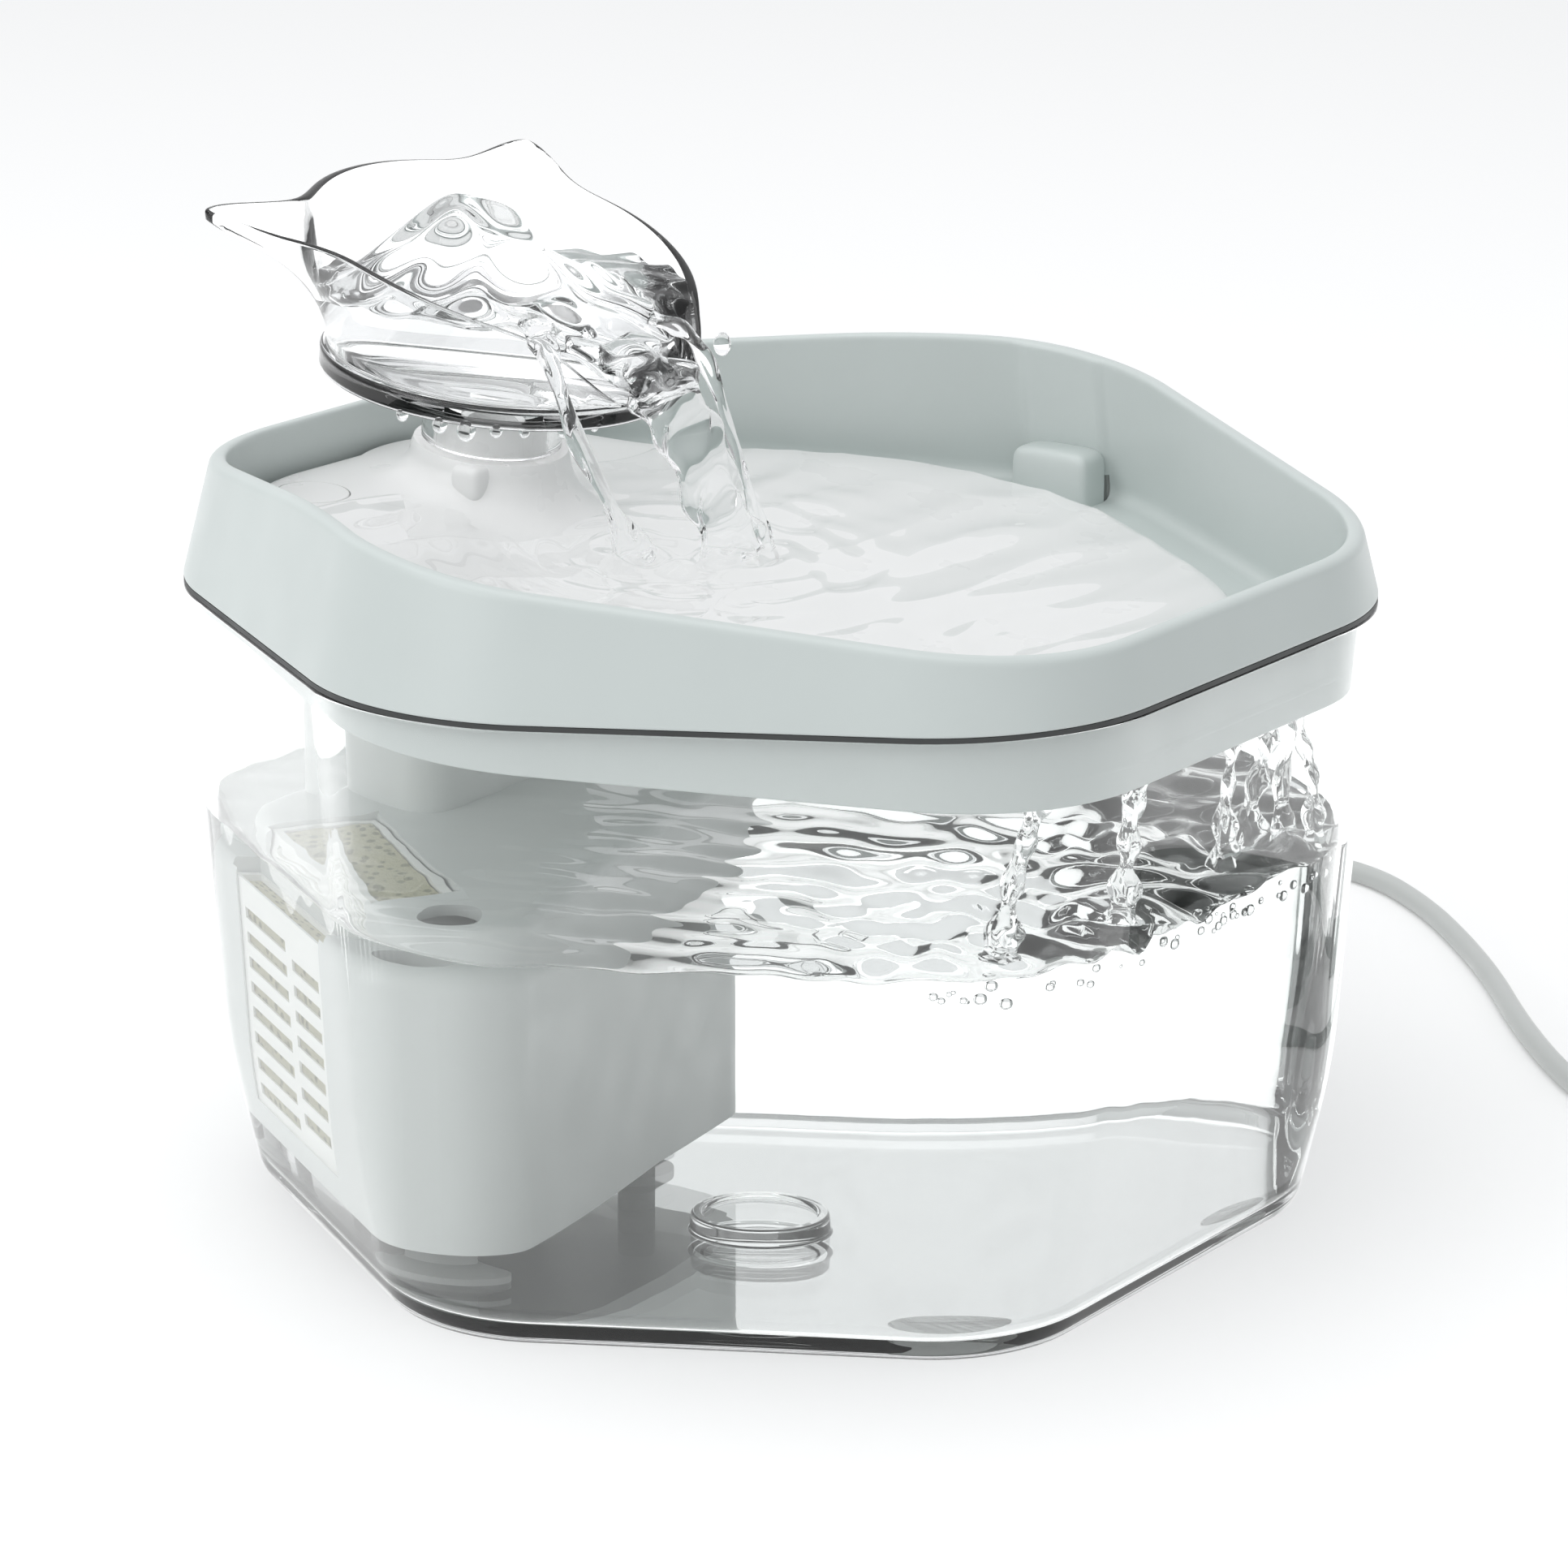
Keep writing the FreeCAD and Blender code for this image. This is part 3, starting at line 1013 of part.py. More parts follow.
def coil_place(turns):
    """Centre line of the coil after a number of turns: layers spiral in and out in turn."""
    step = size("coil_step")
    spin = COIL_TURNS + 0.5
    layer = min(int(turns / spin), COIL_LAYERS - 1)
    within = turns - layer * spin
    flat = min(within, COIL_TURNS)
    rest = max(0.0, within - COIL_TURNS)
    climb = rest / 0.5
    reached = flat + rest - 2 * rest * rest
    depth = reached if layer % 2 == 0 else COIL_TURNS - reached
    radius = size("coil_radius") - step * depth
    smooth = climb * climb * (3 - 2 * climb)
    height = size("cord_radius") + step * (layer + smooth)
    angle = math.radians(COIL_START) + 2 * math.pi * turns
    return Vector(COIL_CENTRE[0] + radius * math.cos(angle), COIL_CENTRE[1] + radius * math.sin(angle), height)


def coil_end(turns):
    """Place and direction of the coil's centre line."""
    small = 0.002
    low = max(turns - small, 0)
    high = min(turns + small, COIL_LAYERS * (COIL_TURNS + 0.5) - 0.5)
    return coil_place(turns), (coil_place(high) - coil_place(low)).normalize()


def middle_box(start, length, width, height, rise=0.0):
    """A block along X from start, centred on the cord's line or raised from it."""
    return Part.makeBox(length, width, height, Vector(start, -width / 2, rise - height / 2))


def make_plug(where):
    """USB plug at the cord's end: grip, metal shell and tongue."""
    length = size("grip_length")
    wall = size("contact_wall")
    width = size("contact_width") - 2 * wall
    tongue_length = size("contact_length") - 1
    grip = middle_box(0, length, size("grip_width"), size("grip_height"))
    grip = grip.makeFillet(size("grip_edge"), [e for e in grip.Edges if abs(e.BoundBox.XLength - length) < 0.1])
    shell = middle_box(length, size("contact_length"), size("contact_width"), size("contact_height"))
    shell = shell.cut(middle_box(length + wall, size("contact_length"), width, size("contact_height") - 2 * wall))
    lowered = (size("contact_height") - size("tongue_thickness")) / 2 - wall
    tongue = middle_box(length + wall, tongue_length, width - 0.6, size("tongue_thickness"), -lowered)
    for name, shape in (("usb_plug_body", grip), ("usb_plug_shell", shell), ("usb_plug_tongue", tongue)):
        thing = doc.addObject("Part::Feature", f"{name}_shape")
        thing.Shape = shape
        thing.Placement = where
        keep(thing, name)


def make_cord():
    """Cord: inner run in the tank, free stretch, coil, tail and plug."""
    radius = size("cord_radius")
    height = size("cord_exit_height")
    total = COIL_LAYERS * (COIL_TURNS + 0.5) - 0.5
    stops = [i / 4 for i in range(int(total * 4) + 1)]
    ends = [coil_end(t) for t in stops]
    edges = []
    for (a, way_a), (b, way_b) in zip(ends, ends[1:]):
        edges += biarc(a, way_a, b, way_b)
    coil_wire = Part.Wire(edges)
    coil = doc.addObject("Part::Feature", "coil_shape")
    coil.Shape = swept(coil_wire, radius, ends[0][0], ends[0][1])
    keep(coil, "cord_coil")
    samples = coil_wire.discretize(Distance=1.5)
    apart = min(
        samples[i].distanceToPoint(samples[k])
        for i in range(0, len(samples), 2)
        for k in range(i + 20, len(samples), 2)
    ) - 2 * radius
    print("coil: length", round(coil_wire.Length, 1), "least gap to itself", round(apart, 2))

    inner_end, outer_end = GLAND
    entry, entry_way = ends[0]
    run_in = entry - entry_way * 14
    route = [(outer_end, 0, height)] + CORD_POINTS + [tuple(run_in), tuple(entry)]
    wire, radii = smooth_path(route)
    print("free cord: length", round(wire.Length, 1), "arc radii", [round(r, 1) for r in radii])
    free = doc.addObject("Part::Feature", "cord_free_shape")
    free.Shape = swept(wire, radius, Vector(*route[0]), Vector(*route[1]) - Vector(*route[0]))
    print("free cord: volume over section times length",
          round(free.Shape.Volume / (math.pi * radius**2 * wire.Length), 4))
    keep(free, "cord_free")

    last, last_way = ends[-1]
    flat_way = Vector(last_way.x, last_way.y, 0).normalize()
    plug_height = size("grip_height") / 2
    fall = (last.z - plug_height) / 2
    steps = [(14, 0), (29, 0.8 * fall), (46, 2 * fall), (60, 2 * fall)]
    tail = [tuple(last)] + [tuple(last + flat_way * ahead - Vector(0, 0, down)) for ahead, down in steps]
    tail_wire, tail_radii = smooth_path(tail)
    tail_part = doc.addObject("Part::Feature", "cord_tail_shape")
    tail_part.Shape = swept(tail_wire, radius, last, Vector(*tail[1]) - last)
    keep(tail_part, "cord_tail")
    print("cord tail: arc radii", [round(r, 1) for r in tail_radii])
    turn = Rotation(Vector(0, 0, 1), math.degrees(math.atan2(flat_way.y, flat_way.x)))
    make_plug(Placement(Vector(*tail[-1]), turn))

    x, y = (size(v) for v in PUMP_CORD)
    tank_route = [
        (x, y, size("pump_height + motor_half")), (x, y, height - 32.5), (x + 1, y - 0.5, height - 20.5),
        (x + 6, y - 6, height - 12), (x + 15, y - 16, height - 7.5), (x + 26, y - 30, height - 5.5),
        (x + 35, y - 45, height - 4), (x + 43, y - 57, height - 2), (inner_end - 13.9, 0, height),
        (inner_end, 0, height),
    ]
    wire, radii = smooth_path(tank_route)
    print("inner cord: length", round(wire.Length, 1), "arc radii", [round(r, 1) for r in radii])
    inner = doc.addObject("Part::Feature", "cord_inner_shape")
    inner.Shape = swept(wire, radius, Vector(*tank_route[0]), Vector(0, 0, 1))
    keep(inner, "cord_inner")
    held = doc.addObject("Part::Feature", "cord_held_shape")
    held.Shape = Part.makeCylinder(radius, outer_end - inner_end, Vector(inner_end, 0, height), Vector(1, 0, 0))
    keep(held, "cord_in_gland")


make_tank()
make_feet()
make_gasket()
GLAND = make_gland()
make_tray()
make_deck()
make_bowl()
make_housing()
make_filter()
make_pump()
make_cord()
doc.recompute()

for thing in doc.Objects:
    if "Invalid" in thing.State or "Error" in thing.State:
        raise RuntimeError(f"{thing.Name} failed: {thing.State}")
os.makedirs("parts", exist_ok=True)
for thing in NODES:
    shape = thing.Shape
    if shape.isNull() or not shape.isValid():
        raise RuntimeError(f"{thing.Label} has no valid shape")
    box_now = shape.BoundBox
    print(thing.Label, "solids", len(shape.Solids), "volume", round(shape.Volume),
          "box", [round(v, 1) for v in (box_now.XMin, box_now.YMin, box_now.ZMin,
                                        box_now.XMax, box_now.YMax, box_now.ZMax)])
    shape.exportStep(f"parts/{thing.Label}.step")
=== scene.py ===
import bpy
import numpy as np
from mathutils import Matrix, Vector


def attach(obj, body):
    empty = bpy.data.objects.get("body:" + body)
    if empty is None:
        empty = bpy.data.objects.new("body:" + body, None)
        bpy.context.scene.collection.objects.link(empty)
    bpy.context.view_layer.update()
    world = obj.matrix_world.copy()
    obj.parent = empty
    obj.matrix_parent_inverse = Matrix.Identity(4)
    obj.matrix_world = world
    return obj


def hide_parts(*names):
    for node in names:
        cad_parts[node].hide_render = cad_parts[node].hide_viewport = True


# Pet water fountain: grey tray with a white deck on a clear tank, a clear pour bowl over the deck,
# the pump housing and its filter under water. Sizes are in millimetres, and meshes and cords in metres.
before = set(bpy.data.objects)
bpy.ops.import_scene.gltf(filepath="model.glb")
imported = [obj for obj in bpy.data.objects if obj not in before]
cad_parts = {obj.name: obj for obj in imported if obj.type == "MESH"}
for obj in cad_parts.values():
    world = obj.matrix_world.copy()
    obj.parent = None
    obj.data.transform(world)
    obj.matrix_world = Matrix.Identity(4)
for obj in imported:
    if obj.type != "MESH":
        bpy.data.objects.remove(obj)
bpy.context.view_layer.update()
MM = 0.001
FULL_TURN = 2 * np.pi

# Tank
SEAM, SEAM_APOTHEM, SEAM_CORNER = 106.4, 90.93, 42.0
KNEE, KNEE_APOTHEM, KNEE_CORNER = 26.0, 85.4, 33.0
FOOT, BASE_APOTHEM, BASE_CORNER = 1.5, 80.0, 27.0
TANK_WALL, TANK_FLOOR, GASKET = 2.6, 3.2, 0.8
BOSS_RADIUS, BOSS_HEIGHT = 11.5, 2.5
GLAND_WIDTH, CORD_HEIGHT, CORD_RADIUS = 7.0, 92.5, 2.0

# Tray and deck
TRAY_HEIGHT, TRAY_APOTHEM, TRAY_CORNER, TRAY_WALL = 26.0, 84.6, 38.0, 2.8
SKIRT_DEPTH, SKIRT_LEAST, SKIRT_WALL, SKIRT_GAP = 14.0, 4.0, 2.2, 0.4
DECK_SLOPE, DECK_DROP, DECK_RISE, PLATE = np.radians(4.0), 2.0, 3.0, 2.2
DECK_APOTHEM, DECK_SHIFT, DECK_BACK_CORNER, DECK_CORNER = 78.5, 6.0, 38.0, 58.0
DRAIN_HALF, DRAIN_WIDTH, DRAIN_GAP = 40.0, 8.0, 1.4
DECK_SWELL, SWELL_TURN, SWELL_START, SWELL_RUN = 6.5, 0.55, 36.0, 46.0
PLUG_X, PLUG_Y, PLUG_RADIUS, PLUG_LOW, PLUG_HIGH = -31.0, 73.5, 6.1, -1.55, 0.12
RECESS_RADIUS, RECESS_LOW, RECESS_HIGH = 6.3, -1.65, 6.0
DUCT_ANGLE, DUCT_HALF_ANGLE, DUCT_BLEND, DUCT_DEPTH = 2.6, 4.3, 0.9, 1.5
DUCT_MIDDLE, DUCT_HALVES = (89.5, 4.0, 104.0), (4.0, 8.0, 6.6)
TANK_NOTCH, TRAY_NOTCH = (82.3, 112.0), (90.4, 112.0)
RIM_LINE = [(-140, 10), (-88, 10), (22, 24.2), (91, 18.4), (140, 14.3)]
RIM_REACH = [0, 9, 22, 0, 0]

# Riser on the deck
CONE_FOOT, CONE_OUT, CONE_DOWN = 25.0, 1.7, 2.2
CONE_ROOF, CONE_BORE_END = 116.6, -15.4
TAB_ANGLE, TAB_OUT, TAB_BACK, TAB_HEIGHT, TAB_HALVES = np.radians(205.0), 12.6, 1.6, 116.6, (3.0, 3.0, 3.2)

# Pour bowl, in its own tilted frame
BOWL_Y, BOWL_LIFT, BOWL_TILT = 58.8, 26.0, np.radians(7.5)
RING_RADIUS, RING_HEIGHT, BOWL_BASE, BOWL_TOP = 30.3, 4.0, 28.8, 35.6
BOWL_FULL, BOWL_WALL, BOWL_FLOOR = 32.0, 1.6, 2.0
EARS, EAR_WIDTH, EAR_LIFT = ((36.0, 13.5), (146.5, 18.0)), 11.0, 0.08
SPOUT_ANGLE, SPOUT_REACH, SPOUT_WIDTH = -90.0, 6.4, 30.0
BOWL_RIM = [
    (-60, -12), (-44, -5), (-34.7, 5), (-31, 9.8), (-27, 14),
    (-20, 18), (0, 23), (20, 26), (36, 28.3), (60, 30),
]
COLLAR_RADIUS, COLLAR_DEPTH, COLLAR_BORE = 12.0, 11.4, 9.85
SPIGOT, SEAL_GROOVE, NOZZLE, TUBE_BORE = 9.4, 0.9, 4.5, 6.8

# Water
WATER_LEVEL = 66.4
OVERLAP = 0.05
LANDING = (5.0, 15.0)
IMPACTS = [(5.0, 14.0, 0.0), (-3.0, 25.0, 1.0)]
FALL_FEET = [(-40.6, -72.2, 0.4), (-14.9, -77.0, 2.0), (30.2, -70.6, 1.1), (37.7, -80.8, 3.0)]
FILM_BACK, FILM_UNDER, FILM_EDGE = 66.0, -0.06, 1.2
BOWL_WATER, SPOUT_FALL = 16.0, 11.5
DOMES = [(12.8, -9.0, 7.0, 150.0), (6.0, -2.0, -5.0, 160.0)]


def put(name, data):
    """A new object in the scene."""
    thing = bpy.data.objects.new(name, data)
    bpy.context.scene.collection.objects.link(thing)
    return thing


# Shapes

def circle(count):
    """Angles of a full turn in equal steps, from +X."""
    return np.arange(count) * FULL_TURN / count


def hexagon_radius(angle, apothem, corner):
    """Distance from the centre to a rounded hexagon with corners on +X and -X.

    Flat sides lie at the apothem. Near a corner the outline is a circle of the corner radius,
    whose centre is (apothem - corner) / cos 30 out along the corner's direction.
    """
    off = np.abs((angle + np.pi / 6) % (np.pi / 3) - np.pi / 6)
    flat = apothem / np.cos(np.pi / 6 - off)
    out = (apothem - corner) / np.cos(np.pi / 6)
    arc = out * np.cos(off) + np.sqrt(np.maximum(corner**2 - (out * np.sin(off)) ** 2, 0))
    reach = np.arctan2(corner * 0.5, out + corner * np.cos(np.pi / 6))
    return np.where(off < reach, arc, flat)


def ring(angle, radius, height, x=0.0, y=0.0):
    """Points round an upright axis at x and y: radius and height may differ from angle to angle."""
    radius = radius + 0 * angle
    return np.stack([x + radius * np.cos(angle), y + radius * np.sin(angle), height + 0 * angle], axis=-1)


def hexagon_ring(angle, apothem, corner, height):
    """A rounded hexagon's outline at a height."""
    return ring(angle, hexagon_radius(angle, apothem, corner), height)


def soften(rings, reaches, steps=6):
    """Rings with their edges rounded: each ring with a reach above 0 gives way to a parabola.

    The parabola leaves the surface one reach before the edge and joins it one reach after. A ring
    a little further out on each side keeps the flat parts flat.
    """
    rings = [np.asarray(r, float) for r in rings]
    out = []
    share = np.linspace(0, 1, steps + 1)[:, None, None]
    for i, here in enumerate(rings):
        reach = reaches[i]
        if not reach:
            out.append(here)
            continue
        before = rings[i - 1] - here
        after = rings[(i + 1) % len(rings)] - here
        long_before = np.linalg.norm(before, axis=-1, keepdims=True)
        long_after = np.linalg.norm(after, axis=-1, keepdims=True)
        start = here + before / long_before * np.minimum(reach, long_before * 0.45)
        end = here + after / long_after * np.minimum(reach, long_after * 0.45)
        hold = 0.1
        out.append(start + (start - here) * hold)
        curve = (1 - share) ** 2 * start + 2 * share * (1 - share) * here + share**2 * end
        out.extend(curve)
        out.append(end + (end - here) * hold)
    return np.array(out)


def smooth_line(points, count):
    """A Catmull-Rom curve through the points, sampled evenly in its parameter."""
    points = np.asarray(points, float)
    padded = np.vstack([2 * points[0] - points[1], points, 2 * points[-1] - points[-2]])
    where = np.linspace(0, len(points) - 1, count)
    start = np.minimum(where.astype(int), len(points) - 2)
    t = (where - start)[:, None]
    a, b, c, d = (padded[start + k] for k in range(4))
    return 0.5 * (2 * b + (c - a) * t + (2 * a - 5 * b + 4 * c - d) * t**2 + (3 * b - a - 3 * c + d) * t**3)


def rounded_line(points, reaches, steps=12):
    """A line in a plane with its corners rounded by parabolas."""
    flat = [np.array([[x, 0.0, z]]) for x, z in points]
    return soften(flat, reaches, steps)[:, 0, ::2]


def volume(verts, quads, fans):
    """Six times the signed volume inside the faces; it is positive when they point outwards."""
    tris = np.vstack([quads[:, [0, 1, 2]], quads[:, [0, 2, 3]], fans])
    a, b, c = verts[tris[:, 0]], verts[tris[:, 1]], verts[tris[:, 2]]
    return float(np.sum(a * np.cross(b, c)))


def shade(mesh, sharp):
    """Smooth faces, with edges sharper than the angle kept hard."""
    mesh.polygons.foreach_set("use_smooth", np.ones(len(mesh.polygons), bool))
    mesh.set_sharp_from_angle(angle=np.radians(sharp))


def skin(name, rings, loop=False, sharp=40.0):
    """A closed surface through rings of points in millimetres.

    Neighbouring rings are joined by quads. The last ring joins the first one in a loop, and
    otherwise each end is closed by triangles to its middle point.
    """
    rings = np.asarray(rings, float)
    layers, count, _ = rings.shape
    verts = rings.reshape(-1, 3)
    i = np.arange(layers if loop else layers - 1)[:, None]
    j = np.arange(count)[None, :]
    ahead = (j + 1) % count
    above = (i + 1) % layers
    quads = np.stack([i * count + j, i * count + ahead, above * count + ahead, above * count + j], axis=-1)
    quads = quads.reshape(-1, 4)
    fans = np.zeros((0, 3), int)
    if not loop:
        verts = np.vstack([verts, rings[0].mean(axis=0), rings[-1].mean(axis=0)])
        low = np.stack([ahead[0], j[0], 0 * j[0] + layers * count], axis=-1)
        top = (layers - 1) * count
        high = np.stack([top + j[0], top + ahead[0], 0 * j[0] + layers * count + 1], axis=-1)
        fans = np.vstack([low, high])
    if volume(verts, quads, fans) < 0:
        quads, fans = quads[:, ::-1], fans[:, ::-1]
    mesh = bpy.data.meshes.new(name)
    mesh.from_pydata((verts * MM).tolist(), [], quads.tolist() + fans.tolist())
    mesh.validate()
    shade(mesh, sharp)
    return put(name, mesh)


def pebble(name, middle, halves, power=2.0, count=24):
    """A closed rounded block: |x/a|^p + |y/b|^p + |z/c|^p = 1 round its middle; power 2 is an egg."""
    angle = circle(count)
    lift = np.linspace(-np.pi / 2, np.pi / 2, count // 2 + 1)[1:-1, None]

    def bent(wave):
        return np.sign(wave) * np.abs(wave) ** (2 / power)

    x = halves[0] * bent(np.cos(lift)) * bent(np.cos(angle))
    y = halves[1] * bent(np.cos(lift)) * bent(np.sin(angle))
    z = halves[2] * bent(np.sin(lift)) + 0 * angle
    return skin(name, np.stack([x, y, z], axis=-1) + np.asarray(middle, float), sharp=80)


def prism(name, outline, low, high):
    """An upright prism on an outline of points."""
    outline = np.asarray(outline, float)
    floor = np.column_stack([outline, np.full(len(outline), low)])
    lid = np.column_stack([outline, np.full(len(outline), high)])
    return skin(name, [floor, lid])


def block_outline(x, y):
    """Corners of a rectangle."""
    return [(x[0], y[0]), (x[1], y[0]), (x[1], y[1]), (x[0], y[1])]


def carve(thing, cutters, sharp=40.0):
    """Cuts the closed cutters out of a closed piece and removes them."""
    for cutter in cutters:
        cut = thing.modifiers.new("cut", "BOOLEAN")
        cut.operation, cut.solver, cut.object = "DIFFERENCE", "EXACT", cutter
    bpy.context.view_layer.update()
    shaped = thing.evaluated_get(bpy.context.evaluated_depsgraph_get())
    mesh = bpy.data.meshes.new_from_object(shaped)
    thing.modifiers.clear()
    thing.data = mesh
    shade(mesh, sharp)
    for cutter in cutters:
        bpy.data.objects.remove(cutter)


def join(name, things):
    """Several meshes as one piece."""
    verts, faces, start = [], [], 0
    for thing in things:
        mesh = thing.data
        place = np.empty(len(mesh.vertices) * 3)
        mesh.vertices.foreach_get("co", place)
        verts.append(place.reshape(-1, 3))
        faces += [[start + v for v in face.vertices] for face in mesh.polygons]
        start += len(mesh.vertices)
    for thing in things:
        bpy.data.objects.remove(thing)
    mesh = bpy.data.meshes.new(name)
    mesh.from_pydata(np.vstack(verts).tolist(), [], faces)
    shade(mesh, 80)
    return put(name, mesh)


# Materials

class Nodes:
    """The nodes of a material or of the surround, added one by one and linked by socket."""

    def __init__(self, owner, coordinates="Object"):
        owner.use_nodes = True
        self.owner, self.tree = owner, owner.node_tree
        self.tree.nodes.clear()
        self.place = self.add("ShaderNodeTexCoord").outputs[coordinates]

    def add(self, kind, **values):
        node = self.tree.nodes.new(kind)
        for key, value in values.items():
            node.inputs[key].default_value = value
        return node

    def link(self, source, target):
        self.tree.links.new(source, target)

    def noise(self, scale, detail=3.0, roughness=0.5):
        """Noise on the piece's own coordinates, in turns per metre."""
        node = self.add("ShaderNodeTexNoise", Scale=scale, Detail=detail, Roughness=roughness)
        self.link(self.place, node.inputs["Vector"])
        return node.outputs["Fac"]

    def spread(self, source, low, high, from_low=0.3, from_high=0.7):
        """The source's range mapped to another range."""
        node = self.add("ShaderNodeMapRange", **{"From Min": from_low, "From Max": from_high,
                                                 "To Min": low, "To Max": high})
        self.link(source, node.inputs["Value"])
        return node.outputs["Result"]

    def ramp(self, source, stops):
        """A colour that follows the source through stops of place and colour."""
        node = self.tree.nodes.new("ShaderNodeValToRGB")
        while len(node.color_ramp.elements) < len(stops):
            node.color_ramp.elements.new(0.5)
        for element, (place, colour) in zip(node.color_ramp.elements, stops):
            element.position = place
            element.color = (*colour, 1)
        self.link(source, node.inputs["Fac"])
        return node.outputs["Color"]

    def bump(self, source, height, strength=1.0):
        """A normal from a height pattern of that many metres."""
        node = self.add("ShaderNodeBump", Strength=strength, Distance=height)
        self.link(source, node.inputs["Height"])
        return node.outputs["Normal"]

    def math(self, operation, *values):
        """A calculation on numbers and sockets."""
        node = self.add("ShaderNodeMath")
        node.operation = operation
        for socket, value in zip(node.inputs, values):
            if isinstance(value, bpy.types.NodeSocket):
                self.link(value, socket)
            else:
                socket.default_value = value
        return node.outputs[0]

    def rays(self, *kinds):
        """1 for light paths of one of the kinds, 0 for the others."""
        path = self.tree.nodes.new("ShaderNodeLightPath")
        sockets = [path.outputs[f"Is {kind} Ray"] for kind in kinds]
        return self.math("MAXIMUM", *sockets) if len(kinds) == 2 else sockets[0]

    def mix(self, share, first, second):
        """The first shader, giving way to the second as the share goes from 0 to 1."""
        node = self.tree.nodes.new("ShaderNodeMixShader")
        for socket, source in zip(node.inputs, (share, first, second)):
            self.link(source, socket)
        return node.outputs["Shader"]

    def show(self, shader, kind="ShaderNodeOutputMaterial"):
        self.link(shader, self.tree.nodes.new(kind).inputs["Surface"])
        return self.owner


def two_tones(dark, light):
    """Stops of a soft change from a dark colour to a light one."""
    return [(0.35, dark), (0.65, light)]


def moulded(name, colour, shade_by=0.04, rough=0.4, grain=2500.0, depth=0.00002):
    """Moulded plastic or rubber: faint mottling, fine grain, and gloss that varies a little."""
    n = Nodes(bpy.data.materials.new(name))
    shader = n.add("ShaderNodeBsdfPrincipled")
    dark = tuple(c * (1 - shade_by) for c in colour)
    light = tuple(min(1.0, c * (1 + shade_by)) for c in colour)
    n.link(n.ramp(n.noise(28.0, 4.0), two_tones(dark, light)), shader.inputs["Base Color"])
    n.link(n.spread(n.noise(90.0), rough * 0.85, rough * 1.15), shader.inputs["Roughness"])
    n.link(n.bump(n.noise(grain, 2.0), depth, 0.6), shader.inputs["Normal"])
    return n.show(shader.outputs["BSDF"])


def see_through(name, colour, ior, ripple=0.00001, wave=60.0, clear_light=0.97):
    """Clear plastic or water: it refracts what is seen through it and lets lamp light pass."""
    n = Nodes(bpy.data.materials.new(name))
    shader = n.add("ShaderNodeBsdfPrincipled", **{"Base Color": (*colour, 1), "IOR": ior,
                                                  "Transmission Weight": 1.0})
    n.link(n.spread(n.noise(45.0), 0.0, 0.004), shader.inputs["Roughness"])
    n.link(n.bump(n.noise(wave, 2.0), ripple, 0.5), shader.inputs["Normal"])
    open_air = n.add("ShaderNodeBsdfTransparent", Color=(clear_light, clear_light, clear_light, 1))
    return n.show(n.mix(n.rays("Shadow", "Diffuse"), shader.outputs["BSDF"], open_air.outputs["BSDF"]))


def porous(name, light, dark, scale, depth):
    """Foam or filter wadding: open cells shown by bump, with painted shade that darkens each cell towards its
    middle.
    """
    n = Nodes(bpy.data.materials.new(name))
    shader = n.add("ShaderNodeBsdfPrincipled", Roughness=0.95)
    cells = n.add("ShaderNodeTexVoronoi", Scale=scale)
    n.link(n.place, cells.inputs["Vector"])
    near = n.spread(cells.outputs["Distance"], 0.0, 1.0, 0.1, 0.6)
    # painted shade: the colour is darker near each cell's middle, where the open pores lie in shade
    n.link(n.ramp(near, two_tones(dark, light)), shader.inputs["Base Color"])
    n.link(n.bump(n.noise(scale * 2, 5.0, 0.7), depth), shader.inputs["Normal"])
    return n.show(shader.outputs["BSDF"])


def metal(name, colour, rough):
    """Plated steel with faint drawing lines."""
    n = Nodes(bpy.data.materials.new(name))
    shader = n.add("ShaderNodeBsdfPrincipled", Metallic=1.0)
    dark = tuple(c * 0.93 for c in colour)
    n.link(n.ramp(n.noise(120.0), two_tones(dark, colour)), shader.inputs["Base Color"])
    n.link(n.spread(n.noise(400.0), rough * 0.8, rough * 1.25), shader.inputs["Roughness"])
    n.link(n.bump(n.noise(3000.0), 0.000004), shader.inputs["Normal"])
    return n.show(shader.outputs["BSDF"])


GREY_PLASTIC = moulded("satin grey plastic", (0.585, 0.635, 0.622), 0.015, 0.36, 3000.0, 0.000008)
WHITE_PLASTIC = moulded("white deck plastic", (0.80, 0.805, 0.80), 0.01, 0.3, 3000.0, 0.000006)
HOUSING_PLASTIC = moulded("light grey housing plastic", (0.60, 0.635, 0.62), 0.02, 0.42, 2500.0, 0.00001)
BASKET_PLASTIC = moulded("white basket plastic", (0.78, 0.80, 0.775), 0.015, 0.4, 2500.0, 0.00001)
PUMP_PLASTIC = moulded("dark pump plastic", (0.045, 0.047, 0.05), 0.1, 0.45, 2000.0, 0.00002)
ROTOR_PLASTIC = moulded("rotor plastic", (0.62, 0.62, 0.6), 0.05, 0.4)
# Near-black: seal rubber on the collar seal; on the rim gasket it is also painted shade of the dark seam line
# between tray and tank.
SEAL_RUBBER_AND_SEAM_SHADE = moulded("dark seal rubber and painted seam shade", (0.03, 0.033, 0.033), 0.1, 0.55, 1800.0, 0.00003)
SOFT_RUBBER = moulded("soft grey rubber", (0.42, 0.44, 0.43), 0.04, 0.6, 1500.0, 0.00003)
CORD_PLASTIC = moulded("grey cord jacket", (0.60, 0.62, 0.605), 0.02, 0.42, 1800.0, 0.00001)
GRIP_PLASTIC = moulded("plug grip plastic", (0.60, 0.62, 0.605), 0.03, 0.5, 900.0, 0.00006)
TONGUE_PLASTIC = moulded("plug tongue plastic", (0.75, 0.75, 0.73), 0.02, 0.5)
CERAMIC = moulded("ceramic shaft", (0.72, 0.7, 0.66), 0.02, 0.2)
PLUG_METAL = metal("plated plug shell", (0.72, 0.72, 0.71), 0.28)
